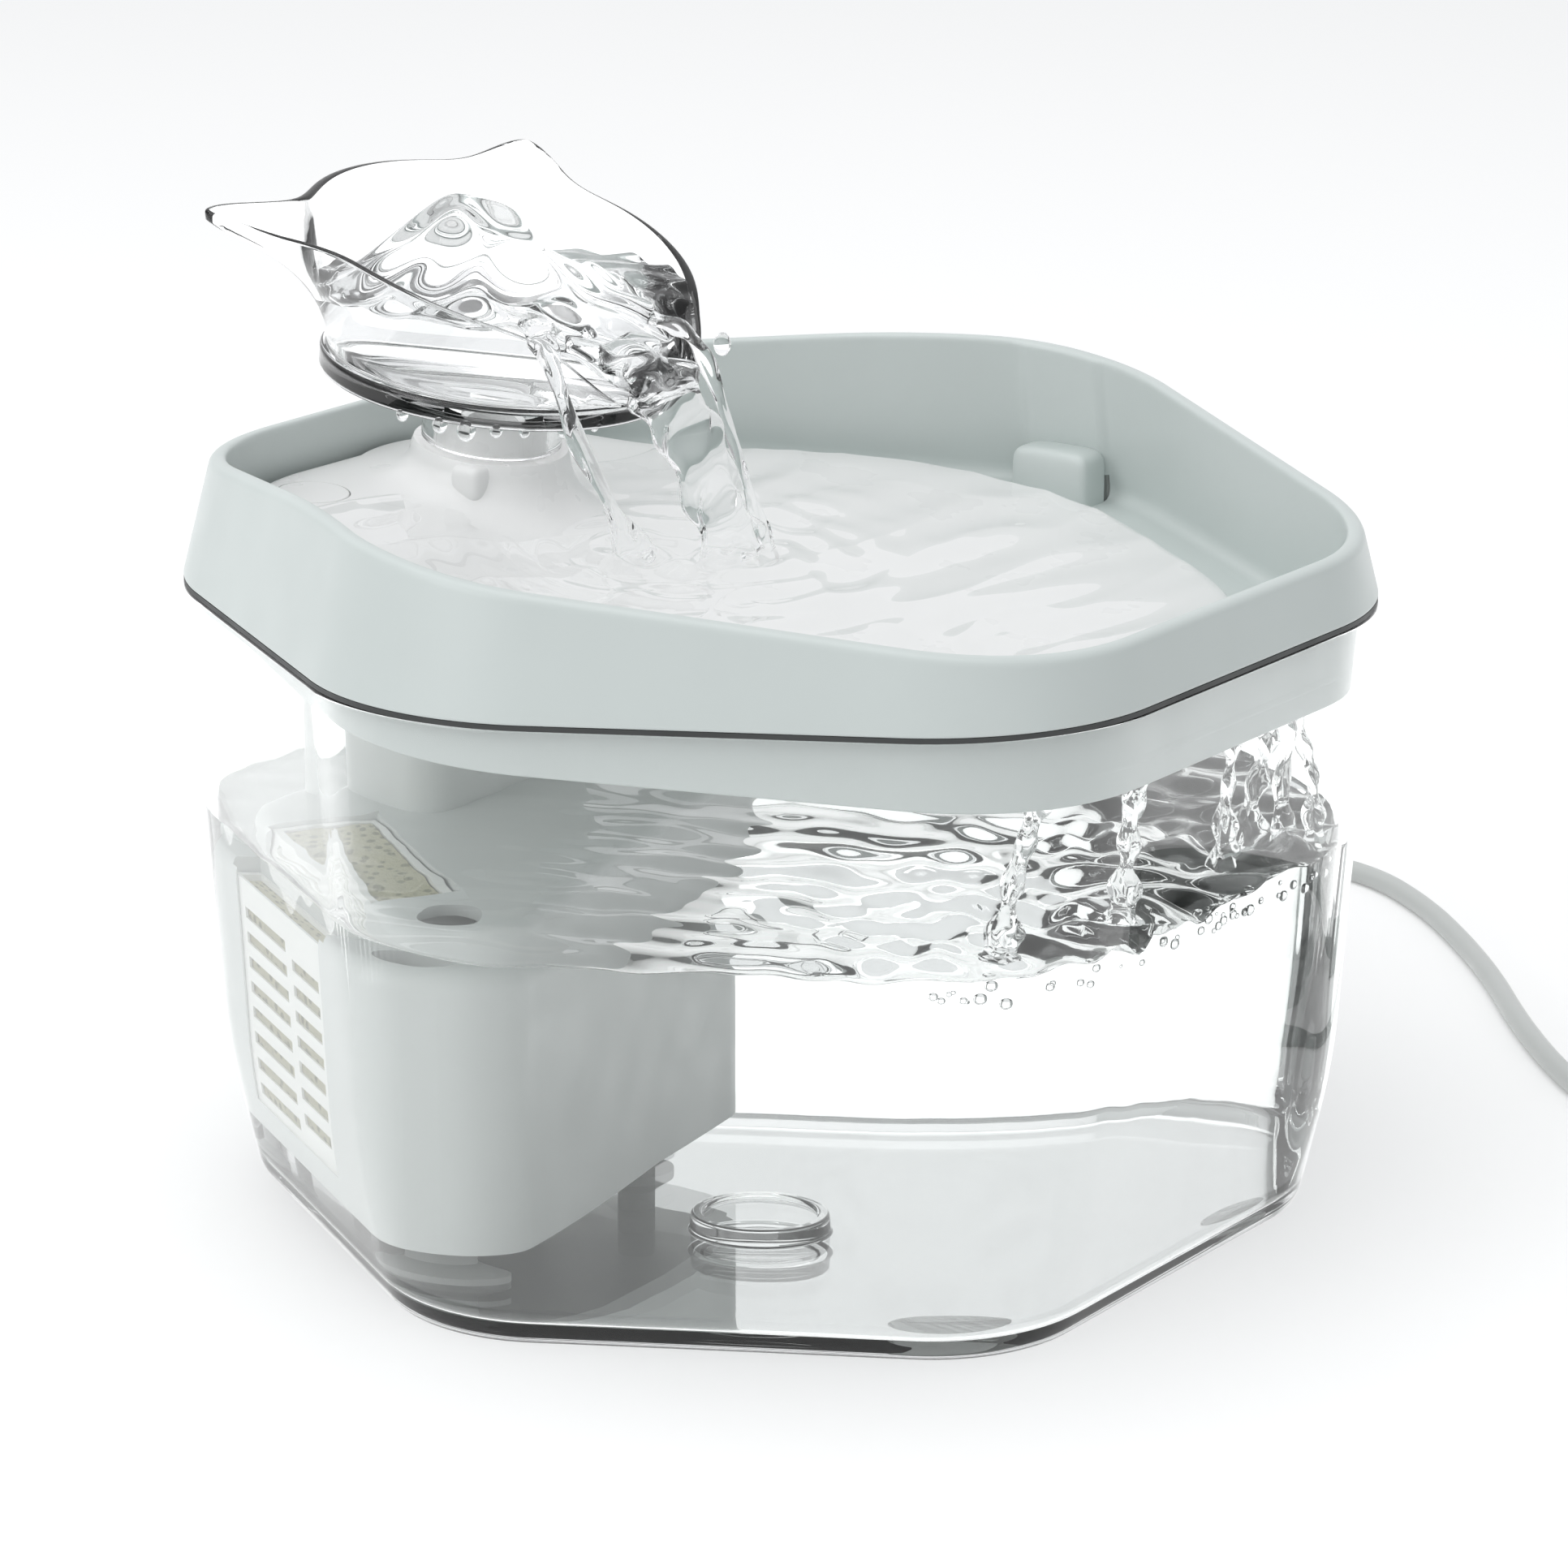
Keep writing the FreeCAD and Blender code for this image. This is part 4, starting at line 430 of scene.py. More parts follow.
# The second colour of each is the painted shade in the open pores.
FILTER_WADDING = porous("beige filter wadding", (0.52, 0.51, 0.34), (0.26, 0.26, 0.15), 420.0, 0.0008)
INTAKE_FOAM = porous("grey intake foam", (0.16, 0.16, 0.17), (0.03, 0.03, 0.035), 700.0, 0.0006)
CLEAR_TANK = see_through("clear tank plastic", (0.985, 0.995, 0.99), 1.45)
CLEAR_BOWL = see_through("clear bowl plastic", (0.985, 0.99, 0.99), 1.49)
WATER = see_through("water", (0.99, 0.995, 0.995), 1.333, 0.00002, 90.0, 1.0)
AIR = see_through("air bubbles", (0.99, 0.99, 0.99), 1.2, 0.00001, 90.0)


def dress(thing, material, body, stands_for=()):
    """Gives a new piece its material, its body and the nodes that it stands for."""
    thing.data.materials.clear()
    thing.data.materials.append(material)
    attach(thing, body)
    if stands_for:
        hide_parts(*stands_for)


def dress_node(name, material):
    """Gives a carried-over node a better material."""
    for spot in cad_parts[name].material_slots:
        spot.material = material


# Camera, from the photograph's viewing angle

def make_camera():
    place = Vector((-0.7202, -0.5304, 0.3442))
    forward = Vector((0.7708, 0.5661, -0.2923)).normalized()
    roll = np.radians(0.077)
    data = bpy.data.cameras.new("camera")
    data.lens, data.sensor_width = 129.08, 36.0
    data.clip_start, data.clip_end = 0.01, 50.0
    camera = put("camera", data)
    turned = forward.to_track_quat("-Z", "Y").to_matrix() @ Matrix.Rotation(roll, 3, "Z")
    camera.matrix_world = Matrix.Translation(place) @ turned.to_4x4()
    bpy.context.scene.camera = camera


# Cord: the same points as the solids', in metres

CORD_ROUTE = [
    (0.1015, 0, 0.0925), (0.113, 0, 0.0925), (0.124, 0.004, 0.087), (0.131, 0.012, 0.071),
    (0.137, 0.022, 0.048), (0.145, 0.033, 0.026), (0.158, 0.042, 0.009), (0.176, 0.046, 0.002),
    (0.194, 0.040, 0.002), (0.203, 0.022, 0.002), (0.202, 0.002, 0.002), (0.191, -0.016, 0.002),
    (0.177, -0.032, 0.002), (0.161, -0.048, 0.002), (0.141, -0.065, 0.002), (0.122, -0.084, 0.002),
    (0.107, -0.104, 0.002), (0.096, -0.125, 0.002),
]
INNER_ROUTE = [
    (0.026, 0.066, 0.042), (0.026, 0.066, 0.060), (0.027, 0.0655, 0.072), (0.032, 0.060, 0.0805),
    (0.041, 0.050, 0.085), (0.052, 0.036, 0.087), (0.061, 0.021, 0.0885), (0.069, 0.009, 0.0905),
    (0.080, 0, 0.0925), (0.0939, 0, 0.0925), (0.1015, 0, 0.0925),
]
COIL_LAYERS, COIL_TURNS, COIL_POINTS = 4, 2.0, 16
COIL_X, COIL_Y, COIL_START = 0.110, -0.151, np.radians(158.0)
COIL_RADIUS, COIL_STEP = 0.020, 0.0046
RUN_IN = 0.014
TAIL_STEPS = [(0.014, 0.0), (0.029, 0.4), (0.046, 1.0), (0.060, 1.0)]
PLUG_LEVEL = 0.00375
SLEEVE = [(2.0, 99.0), (3.3, 99.5), (3.3, 101.6), (3.0, 102.4), (2.7, 108.0), (2.35, 112.0), (2.0, 112.4)]


def coil_line(turns):
    """Centre line of the coil after so many turns: a layer spirals in, the next one out.

    Each layer has its turns and half a turn in which the line climbs by one step and reverses.
    """
    spin = COIL_TURNS + 0.5
    layer = np.minimum((turns / spin).astype(int), COIL_LAYERS - 1)
    within = turns - layer * spin
    rest = np.maximum(0, within - COIL_TURNS)
    reached = np.minimum(within, COIL_TURNS) + rest - 2 * rest**2
    depth = np.where(layer % 2 == 0, reached, COIL_TURNS - reached)
    climb = 2 * rest
    angle = COIL_START + FULL_TURN * turns
    # the control points lie a little outside the line that they pull in
    radius = (COIL_RADIUS - COIL_STEP * depth) / np.cos(np.pi / COIL_POINTS)
    height = CORD_RADIUS * MM + COIL_STEP * (layer + climb * climb * (3 - 2 * climb))
    return np.stack([COIL_X + radius * np.cos(angle), COIL_Y + radius * np.sin(angle), height], axis=-1)


def cord_curve(name, points):
    """A round cord along one open NURBS line with those control points."""
    data = bpy.data.curves.new(name, "CURVE")
    data.dimensions = "3D"
    data.bevel_depth = CORD_RADIUS * MM
    data.bevel_resolution = 6
    data.resolution_u = 10
    data.use_fill_caps = True
    line = data.splines.new("NURBS")
    line.points.add(len(points) - 1)
    line.points.foreach_set("co", np.column_stack([points, np.ones(len(points))]).ravel())
    line.order_u = 3
    line.use_endpoint_u = True
    return put(name, data)


def make_cords():
    """The lead outside with its coil, the lead in the tank, and the sleeve where it leaves the tank."""
    total = COIL_LAYERS * (COIL_TURNS + 0.5) - 0.5
    stops = np.linspace(0, total, int(total * COIL_POINTS) + 1)
    coil = coil_line(stops)
    first_way = np.diff(coil_line(np.array([0.0, 0.002])), axis=0)[0]
    first_way /= np.linalg.norm(first_way)
    last_way = np.diff(coil_line(np.array([total - 0.002, total])), axis=0)[0]
    last_way[2] = 0
    last_way /= np.linalg.norm(last_way)
    fall = coil[-1][2] - PLUG_LEVEL
    tail = [coil[-1] + last_way * ahead - np.array([0, 0, fall * down]) for ahead, down in TAIL_STEPS]
    points = np.vstack([CORD_ROUTE, [coil[0] - first_way * RUN_IN], coil, tail])
    free = cord_curve("cord", points)
    dress(free, CORD_PLASTIC, "tank", ("cord_free", "cord_coil", "cord_tail"))
    inner = cord_curve("cord_in_tank", np.array(INNER_ROUTE))
    dress(inner, CORD_PLASTIC, "tank", ("cord_inner", "cord_in_gland"))
    angle = circle(32)
    rings = [np.stack([x + 0 * angle, r * np.cos(angle), CORD_HEIGHT + r * np.sin(angle)], axis=-1)
             for r, x in SLEEVE]
    relief = skin("strain_relief", rings, sharp=30)
    dress(relief, SOFT_RUBBER, "tank")


# Tank

def tank_outside(angle):
    """Rings up the tank's outside, from under its floor to its rim."""
    return [
        hexagon_ring(angle, BASE_APOTHEM * 0.5, BASE_CORNER * 0.5, FOOT),
        hexagon_ring(angle, BASE_APOTHEM, BASE_CORNER, FOOT),
        hexagon_ring(angle, KNEE_APOTHEM, KNEE_CORNER, KNEE),
        hexagon_ring(angle, SEAM_APOTHEM, SEAM_CORNER, SEAM - GASKET),
    ]


def tank_inside(angle, grow=0.0):
    """Rings up the tank's inside, from its floor to its rim, each grown outwards."""
    share = TANK_FLOOR / (KNEE - FOOT)
    floor_apothem = BASE_APOTHEM + (KNEE_APOTHEM - BASE_APOTHEM) * share - TANK_WALL + grow
    floor_corner = BASE_CORNER + (KNEE_CORNER - BASE_CORNER) * share - TANK_WALL + grow
    return [
        hexagon_ring(angle, floor_apothem, floor_corner, FOOT + TANK_FLOOR - grow),
        hexagon_ring(angle, KNEE_APOTHEM - TANK_WALL + grow, KNEE_CORNER - TANK_WALL + grow, KNEE),
        hexagon_ring(angle, SEAM_APOTHEM - TANK_WALL + grow, SEAM_CORNER - TANK_WALL + grow, SEAM - GASKET),
    ]


def make_tank():
    """The clear tank: hexagon rings up its outside, down its inside and round a low boss on its floor.

    Edges are rounded by the reach of each ring, and a notch for the cord's gland is cut at +X.
    """
    angle = circle(480)
    floor = FOOT + TANK_FLOOR
    top = floor + BOSS_HEIGHT
    boss = [(0.3, floor), (0.0, top), (-1.6, top), (-2.2, top - 0.6)]
    rings = tank_outside(angle) + tank_inside(angle)[::-1]
    rings += [ring(angle, BOSS_RADIUS + beyond, z) for beyond, z in boss]
    shaped = soften(rings, [0, 3.0, 9.0, 0.6, 0.6, 9.0, 4.0, 0.4, 0.5, 0.3, 0.4])
    tank = skin("tank_shell", shaped)
    half = GLAND_WIDTH / 2
    carve(tank, [prism("notch", block_outline(TANK_NOTCH, (-half, half)), CORD_HEIGHT - half, SEAM + 2)])
    dress(tank, CLEAR_TANK, "tank", ("water_tank",))


# Tray

RIM_CURVE = rounded_line(RIM_LINE, RIM_REACH)


def rim_height(y):
    """Rim of the tray above the seam: it climbs from the front to a crest and falls to the back."""
    return np.interp(y, RIM_CURVE[:, 0], RIM_CURVE[:, 1])


def tray_ring(angle, level, inset):
    """The leaning tray wall at a level above the seam, drawn in by inset."""
    share = level / TRAY_HEIGHT
    apothem = SEAM_APOTHEM + (TRAY_APOTHEM - SEAM_APOTHEM) * share - inset
    corner = SEAM_CORNER + (TRAY_CORNER - SEAM_CORNER) * share - inset
    return hexagon_ring(angle, apothem, corner, SEAM + level)


def rim_level(angle, inset):
    """Level at which the wall meets the rim's height, found by repeating the two formulas."""
    level = np.full_like(angle, 15.0)
    for _ in range(8):
        level = rim_height(tray_ring(angle, level, inset)[:, 1])
    return level


def deck_height(y):
    """The plane that the tray's bottom and the deck follow: it falls towards the front."""
    return SEAM - DECK_DROP + y * np.tan(DECK_SLOPE)


def deck_swell(x, y):
    """How far the deck rises over that plane: a smooth rise towards its back left corner."""
    share = np.clip((y - SWELL_TURN * x - SWELL_START) / SWELL_RUN, 0, 1)
    return DECK_SWELL * share * share * (3 - 2 * share)


def on_plane(points, above):
    """The points lifted or dropped to a distance above the deck's surface."""
    points = points.copy()
    points[..., 2] = deck_height(points[..., 1]) + above / np.cos(DECK_SLOPE)
    return points


def off_angle(angle, middle):
    """Distance in degrees from a direction."""
    return np.abs((np.degrees(angle) - middle + 180) % 360 - 180)


def duct_bulge(angle):
    """How far the wall stands in over the cord's duct: a smooth band near the +X corner."""
    return DUCT_DEPTH * np.clip(1.0 - (off_angle(angle, DUCT_ANGLE) - DUCT_HALF_ANGLE) / DUCT_BLEND, 0, 1)


def round_outline(radius, y, count):
    """Points of a circle with its centre at x 0 and y."""
    return [(radius * np.cos(a), y + radius * np.sin(a)) for a in circle(count)]


def make_tray():
    """The grey tray: rings out under its floor, down and up its skirt, up the leaning wall and back in.

    The wall's top follows the rim line at each point's own y. The drain slot, the hole for the riser
    tube and the notch for the gland are cut out, and a block closes the foot of the cord's duct.
    """
    angle = circle(720)
    lean = (SEAM_APOTHEM - KNEE_APOTHEM) / (SEAM - KNEE)
    skirt = SEAM_APOTHEM - TANK_WALL - SKIRT_GAP
    skirt_corner = SEAM_CORNER - TANK_WALL - SKIRT_GAP
    skirt_foot = skirt - lean * SKIRT_DEPTH
    hem_height = SEAM - SKIRT_LEAST
    inner = hexagon_ring(angle, skirt_foot - SKIRT_WALL, skirt_corner - SKIRT_WALL, SEAM)
    under = on_plane(inner, -DECK_RISE - PLATE)
    hem_in = inner.copy()
    hem_in[:, 2] = np.minimum(under[:, 2] - 0.3, hem_height)
    hem_out = hexagon_ring(angle, skirt_foot, skirt_corner - 1, SEAM)
    hem_out[:, 2] = np.minimum(on_plane(hem_out, -DECK_RISE - PLATE)[:, 2] - 0.3, hem_height)
    floor_ring = on_plane(tray_ring(angle, 2.0, TRAY_WALL), -DECK_RISE)
    floor_reach = np.hypot(floor_ring[:, 0], floor_ring[:, 1])
    bulge = duct_bulge(angle)
    rings = [
        on_plane(inner * 0.5, -DECK_RISE - PLATE),
        under, hem_in, hem_out,
        hexagon_ring(angle, skirt, skirt_corner, SEAM),
        tray_ring(angle, 0.0, 0.0),
        tray_ring(angle, rim_level(angle, 0.0), 0.0),
        tray_ring(angle, rim_level(angle, TRAY_WALL), TRAY_WALL + bulge * 0.35),
        on_plane(ring(angle, floor_reach - bulge, 0.0), -DECK_RISE),
        on_plane(floor_ring * 0.5, -DECK_RISE),
    ]
    shaped = soften(rings, [0, 0, 0.1, 0.5, 0, 0.5, 1.35, 1.35, 3.0, 0])
    tray = skin("tray_shell", shaped)
    half = DRAIN_WIDTH / 2
    slot_y = -(DECK_APOTHEM - DECK_SHIFT + DRAIN_GAP) - half
    stadium = [(np.sign(np.cos(a)) * (DRAIN_HALF - half) + half * np.cos(a), slot_y + half * np.sin(a))
               for a in circle(24) + FULL_TURN / 48]
    drain = prism("drain", stadium, SEAM - 30, SEAM + 4)
    tube_hole = prism("tube_hole", round_outline(TUBE_BORE, BOWL_Y, 48), SEAM - 20, SEAM + 20)
    half = GLAND_WIDTH / 2 + SKIRT_GAP
    notch = prism("notch", block_outline(TRAY_NOTCH, (-half, half)), SEAM - 30, SEAM - GASKET + 0.1)
    carve(tray, [drain, tube_hole, notch])
    dress(tray, GREY_PLASTIC, "tray", ("top_tray",))
    duct = pebble("duct_foot", DUCT_MIDDLE, DUCT_HALVES, 6.0, 48)
    dress(duct, GREY_PLASTIC, "tray")


# Deck

def deck_edge(angle, inset):
    """Distance from the riser to the deck's rounded edge in each direction.

    The edge is a rounded hexagon round its own centre, read again as seen from the riser.
    """
    fine = circle(7200)
    corner_number = np.floor((fine + np.pi / 6) / (np.pi / 3)) % 6
    corner = np.where((corner_number == 1) | (corner_number == 2), DECK_BACK_CORNER, DECK_CORNER) - inset
    radius = hexagon_radius(fine, DECK_APOTHEM - inset, corner)
    x = radius * np.cos(fine)
    y = radius * np.sin(fine) + DECK_SHIFT - BOWL_Y
    return np.interp(angle, np.arctan2(y, x) % FULL_TURN, np.hypot(x, y), period=FULL_TURN)


def tilt(points):
    """From the pour bowl's frame to the object's."""
    x, y, z = points[..., 0], points[..., 1], points[..., 2]
    cos, sin = np.cos(BOWL_TILT), np.sin(BOWL_TILT)
    return np.stack([x, BOWL_Y + y * cos - z * sin, SEAM + BOWL_LIFT + y * sin + z * cos], axis=-1)


def make_deck():
    """The white deck: rings down the spigot, out over a flaring cone and the deck, round its edge and back.

    On the cone, out is share to the power CONE_OUT and down is 1 - (1 - share) to the power CONE_DOWN.
    The plug is a disc with a rounded edge in a recess of the deck.
    """
    angle = circle(480)

    def bowl_ring(radius, height):
        return tilt(ring(angle, radius, height))

    def deck_ring(radius, above):
        points = on_plane(ring(angle, radius, 0.0, 0.0, BOWL_Y), above)
        if above > -1.9:
            points[:, 2] += deck_swell(points[:, 0], points[:, 1])
        return points

    groove = SPIGOT - SEAL_GROOVE
    rings = [bowl_ring(r, h) for r, h in [
        (NOZZLE, -1), (SPIGOT, -1), (SPIGOT, -4.4), (groove, -4.4), (groove, -6.2),
        (SPIGOT, -6.2), (SPIGOT, -11.8), (13.2, -11.8), (13.6, -13.0),
    ]]
    upper, foot = rings[-1], deck_ring(CONE_FOOT, 0.0)
    for share in np.linspace(0.06, 1, 16):
        out = share**CONE_OUT
        drop = 1 - (1 - share) ** CONE_DOWN
        blend = upper * (1 - out) + foot * out
        surface = deck_height(blend[:, 1]) + deck_swell(blend[:, 0], blend[:, 1])
        blend[:, 2] = upper[:, 2] * (1 - drop) + surface * drop
        rings.append(blend)
    edge = deck_edge(angle, 0.0)
    for share in np.linspace(0.12, 1, 8):
        rings.append(deck_ring(CONE_FOOT + (edge - 3.0 - CONE_FOOT) * share, 0.0))
    for inward, down in [(2.2, -0.06), (1.5, -0.26), (0.8, -0.7), (0.25, -1.3), (0.0, -2.0), (0.1, -2.7),
                         (0.5, -3.0)]:
        rings.append(deck_ring(edge - inward, down))
    rings.append(deck_ring(edge * 0.5, -DECK_RISE))
    rings.append(deck_ring(TUBE_BORE, -DECK_RISE))
    rings.append(ring(angle, TUBE_BORE, CONE_ROOF, 0.0, BOWL_Y))
    rings.append(bowl_ring(NOZZLE, CONE_BORE_END))
    deck = skin("deck", rings, loop=True)
    lift = deck_swell(PLUG_X, PLUG_Y)

    def plug_ring(radius, above):
        return on_plane(ring(circle(64), radius, 0.0, PLUG_X, PLUG_Y), lift + above)

    carve(deck, [skin("plug_recess", [plug_ring(RECESS_RADIUS, h) for h in (RECESS_LOW, RECESS_HIGH)])])
    dress(deck, WHITE_PLASTIC, "tray", ("drinking_deck",))
    tab_middle = (TAB_OUT * np.cos(TAB_ANGLE), BOWL_Y + TAB_BACK + TAB_OUT * np.sin(TAB_ANGLE), TAB_HEIGHT)
    tab = pebble("riser_tab", tab_middle, TAB_HALVES, 4.0, 48)
    dress(tab, WHITE_PLASTIC, "tray")
    profile = [(3.0, PLUG_LOW), (PLUG_RADIUS, PLUG_LOW), (PLUG_RADIUS, PLUG_HIGH), (3.0, PLUG_HIGH)]
    plug = skin("flush_plug", soften([plug_ring(r, h) for r, h in profile], [0, 0, 0.4, 0]))
    dress(plug, WHITE_PLASTIC, "tray", ("deck_plug",))


# Pour bowl

BOWL_RIM_CURVE = smooth_line(BOWL_RIM, 400)


def ear_reach(angle):
    """How far the ears stand out: most at each ear's own direction, nothing beside it."""
    return sum(reach * np.exp(-((off_angle(angle, ear) / EAR_WIDTH) ** 1.6)) for ear, reach in EARS)


def spout_share(angle):
    """1 along the spout, falling to 0 beside it."""
    return np.exp(-((off_angle(angle, SPOUT_ANGLE) / SPOUT_WIDTH) ** 3))


def bowl_radius(angle, height, inset=0.0):
    """Bowl outside: a flaring wall, with ears that grow towards the rim and a spout from low down."""
    share = np.maximum(0, (height - RING_HEIGHT) / (BOWL_FULL - RING_HEIGHT))
    wall = BOWL_BASE + (BOWL_TOP - BOWL_BASE) * share**0.75
    ears = ear_reach(angle) * np.minimum(1, share / 0.8) ** 3
    spout = SPOUT_REACH * spout_share(angle) * np.minimum(1, share / 0.05)
    return wall + ears + spout - inset


def bowl_rim(angle, inset=0.0):
    """Height of the rim along the bowl's axis in each direction, found by repeating the formulas."""
    height = np.full_like(angle, 18.0)
    for _ in range(30):
        y = bowl_radius(angle, height, inset) * np.sin(angle)
        height = 0.5 * height + 0.5 * np.interp(y, BOWL_RIM_CURVE[:, 0], BOWL_RIM_CURVE[:, 1])
    return height + EAR_LIFT * ear_reach(angle)


def make_bowl():
    """The clear bowl: rings down its collar's bore, out round the foot ring, up the wall to the rim and back.

    A ring of the wall lies a share of the way up from the foot ring to the rim in each direction, at
    the radius of that direction and height.
    """
    angle = circle(720)
    rim = bowl_rim(angle)

    def wall_ring(share, inset, low):
        height = low + (rim - low) * share
        return ring(angle, bowl_radius(angle, height, inset), height)

    shares = np.linspace(0.12, 1, 14)
    base = [
        (COLLAR_BORE, -0.3), (COLLAR_BORE, -COLLAR_DEPTH), (COLLAR_RADIUS, -COLLAR_DEPTH),
        (COLLAR_RADIUS, 0.0), (RING_RADIUS, 0.0), (RING_RADIUS, RING_HEIGHT - 0.3),
        (BOWL_BASE + 0.3, RING_HEIGHT),
    ]
    outside = [wall_ring(s, 0.0, RING_HEIGHT) for s in shares]
    inside = [wall_ring(s, BOWL_WALL, BOWL_FLOOR) for s in shares[::-1]]
    floor = [
        (BOWL_BASE - BOWL_WALL, BOWL_FLOOR), (BOWL_BASE * 0.5, BOWL_FLOOR),
        (NOZZLE + 1, BOWL_FLOOR), (NOZZLE + 1, -0.3),
    ]
    rings = [ring(angle, r, h) for r, h in base] + outside + inside + [ring(angle, r, h) for r, h in floor]
    reaches = [0.2, 0.3, 0.4, 0.6, 0.9, 0.7, 0.3] + [0] * 13 + [0.7, 0.7] + [0] * 13 + [2.0, 0, 0.4, 0.2]
    shaped = soften([tilt(r) for r in rings], reaches, 5)
    bowl = skin("pour_bowl_shell", shaped, loop=True, sharp=50)
    dress(bowl, CLEAR_BOWL, "bowl", ("pour_bowl",))


# Water

def swell(x, y, lengths, count, rng):
    """Short waves: a mean of sines of random direction, length and phase."""
    way = rng.uniform(0, FULL_TURN, count)
    long = rng.uniform(lengths[0], lengths[1], count)
    phase = rng.uniform(0, FULL_TURN, count)
    total = 0.0
    for w, l, p in zip(way, long, phase):
        total = total + np.sin(FULL_TURN * (x * np.cos(w) + y * np.sin(w)) / l + p)
    return total / np.sqrt(count)


def rings_round(x, y, spots, length, fade):
    """Round waves that run out from spots and fade with distance."""
    total = 0.0
    for sx, sy, phase in spots:
        away = np.hypot(x - sx, y - sy)
        total = total + np.sin(FULL_TURN * away / length + phase) * np.exp(-away / fade)
    return total


def tank_surface(x, y):
    """Height of the water in the tank: rough under the falling strands, calm far from them."""
    near = np.exp(-((x - 5) / 75) ** 2 - ((y + 62) / 55) ** 2)
    rough = 0.15 + 1.0 * near
    short = swell(x + 0.35 * y, 0.8 * y, (7, 20), 14, np.random.default_rng(5))
    return WATER_LEVEL + rough * (0.75 * short + 0.9 * rings_round(x, y, FALL_FEET, 8.5, 22))


def make_tank_water():
    """The tank's water: rings up inside the wall, then inwards over the surface, whose edge creeps up."""
    angle = circle(420)
    body = tank_inside(angle, OVERLAP)
    share = (WATER_LEVEL - KNEE) / (SEAM - GASKET - KNEE)
    line = body[1] * (1 - share) + body[2] * share
    low = soften([body[0] * [0.5, 0.5, 1], body[0], body[1], line], [0, 4.0, 9.0, 0])[:-1]
    rings = list(low)
    for inward in np.concatenate([[1.0, 0.995, 0.985], np.linspace(0.975, 0.02, 190)]):
        top = line * [inward, inward, 1]
        creep = 0.7 * np.exp(-(1 - inward) * 90)
        top[:, 2] = tank_surface(top[:, 0], top[:, 1]) + creep
        rings.append(top)
    water = skin("tank_water", rings, sharp=75)
    dress(water, WATER, "tank")


def film_height(x, y):
    """Water over the deck: rings round the landing streams and wavelets that run to the front."""
    away = np.hypot(x - LANDING[0], y - LANDING[1])
    rough = 0.35 + 0.65 * np.exp(-((away - 25) / 40) ** 2)
    calm = np.clip((y - 45) / 20, 0, 1)
    warp = 4.0 * np.sin(x / 13.0 + 0.7) + 3.0 * np.sin(y / 17.0)
    wavelets = swell(0.45 * x + warp, y + 0.3 * x, (10, 28), 10, np.random.default_rng(8))
    creases = 1 - np.abs(swell(0.5 * x + warp, y, (16, 34), 6, np.random.default_rng(12)))
    splash = rings_round(x, y, IMPACTS, 8.5, 14)
    height = 1.3 + rough * (0.35 * wavelets + 0.5 * np.maximum(creases, -0.6) + 0.9 * splash)
    return np.maximum(0.25, height * (1 - 0.7 * calm))


def make_deck_film():
    """The film on the deck: rings inwards from the deck's edge to the landing place of the stream.

    A ring's height over the deck is the film's own height there, and near the edge it falls as the
    square root of the distance left.
    """
    angle = circle(480)
    edge = deck_edge(angle, FILM_EDGE)
    x = edge * np.cos(angle)
    y = np.minimum(edge * np.sin(angle) + BOWL_Y, FILM_BACK + 2.0 * np.sin(x / 9.0))
    # the outline is read again as seen from the landing place of the stream
    bearing = np.arctan2(y - LANDING[1], x - LANDING[0]) % FULL_TURN
    far = np.interp(angle, bearing, np.hypot(x - LANDING[0], y - LANDING[1]), period=FULL_TURN)
    rings = [on_plane(ring(angle, far * share, 0.0, *LANDING), FILM_UNDER) for share in (0.5, 1.0)]
    shares = np.concatenate([np.linspace(0.012, 0.97, 165), [0.98, 0.988, 0.995, 1.0]])
    for share in shares[::-1]:
        layer = ring(angle, far * share, 0.0, *LANDING)
        edge_fall = np.sqrt(np.clip((1.0 - share) / 0.03, 0.02, 1))
        above = film_height(layer[:, 0], layer[:, 1]) * edge_fall + deck_swell(layer[:, 0], layer[:, 1])
        rings.append(on_plane(layer, above))
    film = skin("deck_film", rings, sharp=75)
    dress(film, WATER, "tray")


def bowl_water_height(x, y):
    """Water in the pour bowl, as a height in the object's frame, from the bowl frame's x and y.

    The level falls towards the spout and stands up in two domes over the nozzle, each one a height
    times exp(-(distance squared) / width), with lumps that are strongest round the domes.
    """
    level = SEAM + BOWL_LIFT + BOWL_WATER
    toward = np.clip((-y - 6) / 30, 0, 1)
    level = level - SPOUT_FALL * toward**1.7 * np.exp(-((x / 26) ** 4))
    dome = sum(high * np.exp(-((x - dx) ** 2 + (y - dy) ** 2) / wide) for high, dx, dy, wide in DOMES)
    lumps = swell(x, y, (6, 15), 9, np.random.default_rng(3))
    spread = np.exp(-((x + 5) ** 2 + (y - 2) ** 2) / 380)
    return level + dome + lumps * (0.4 + 1.2 * spread)


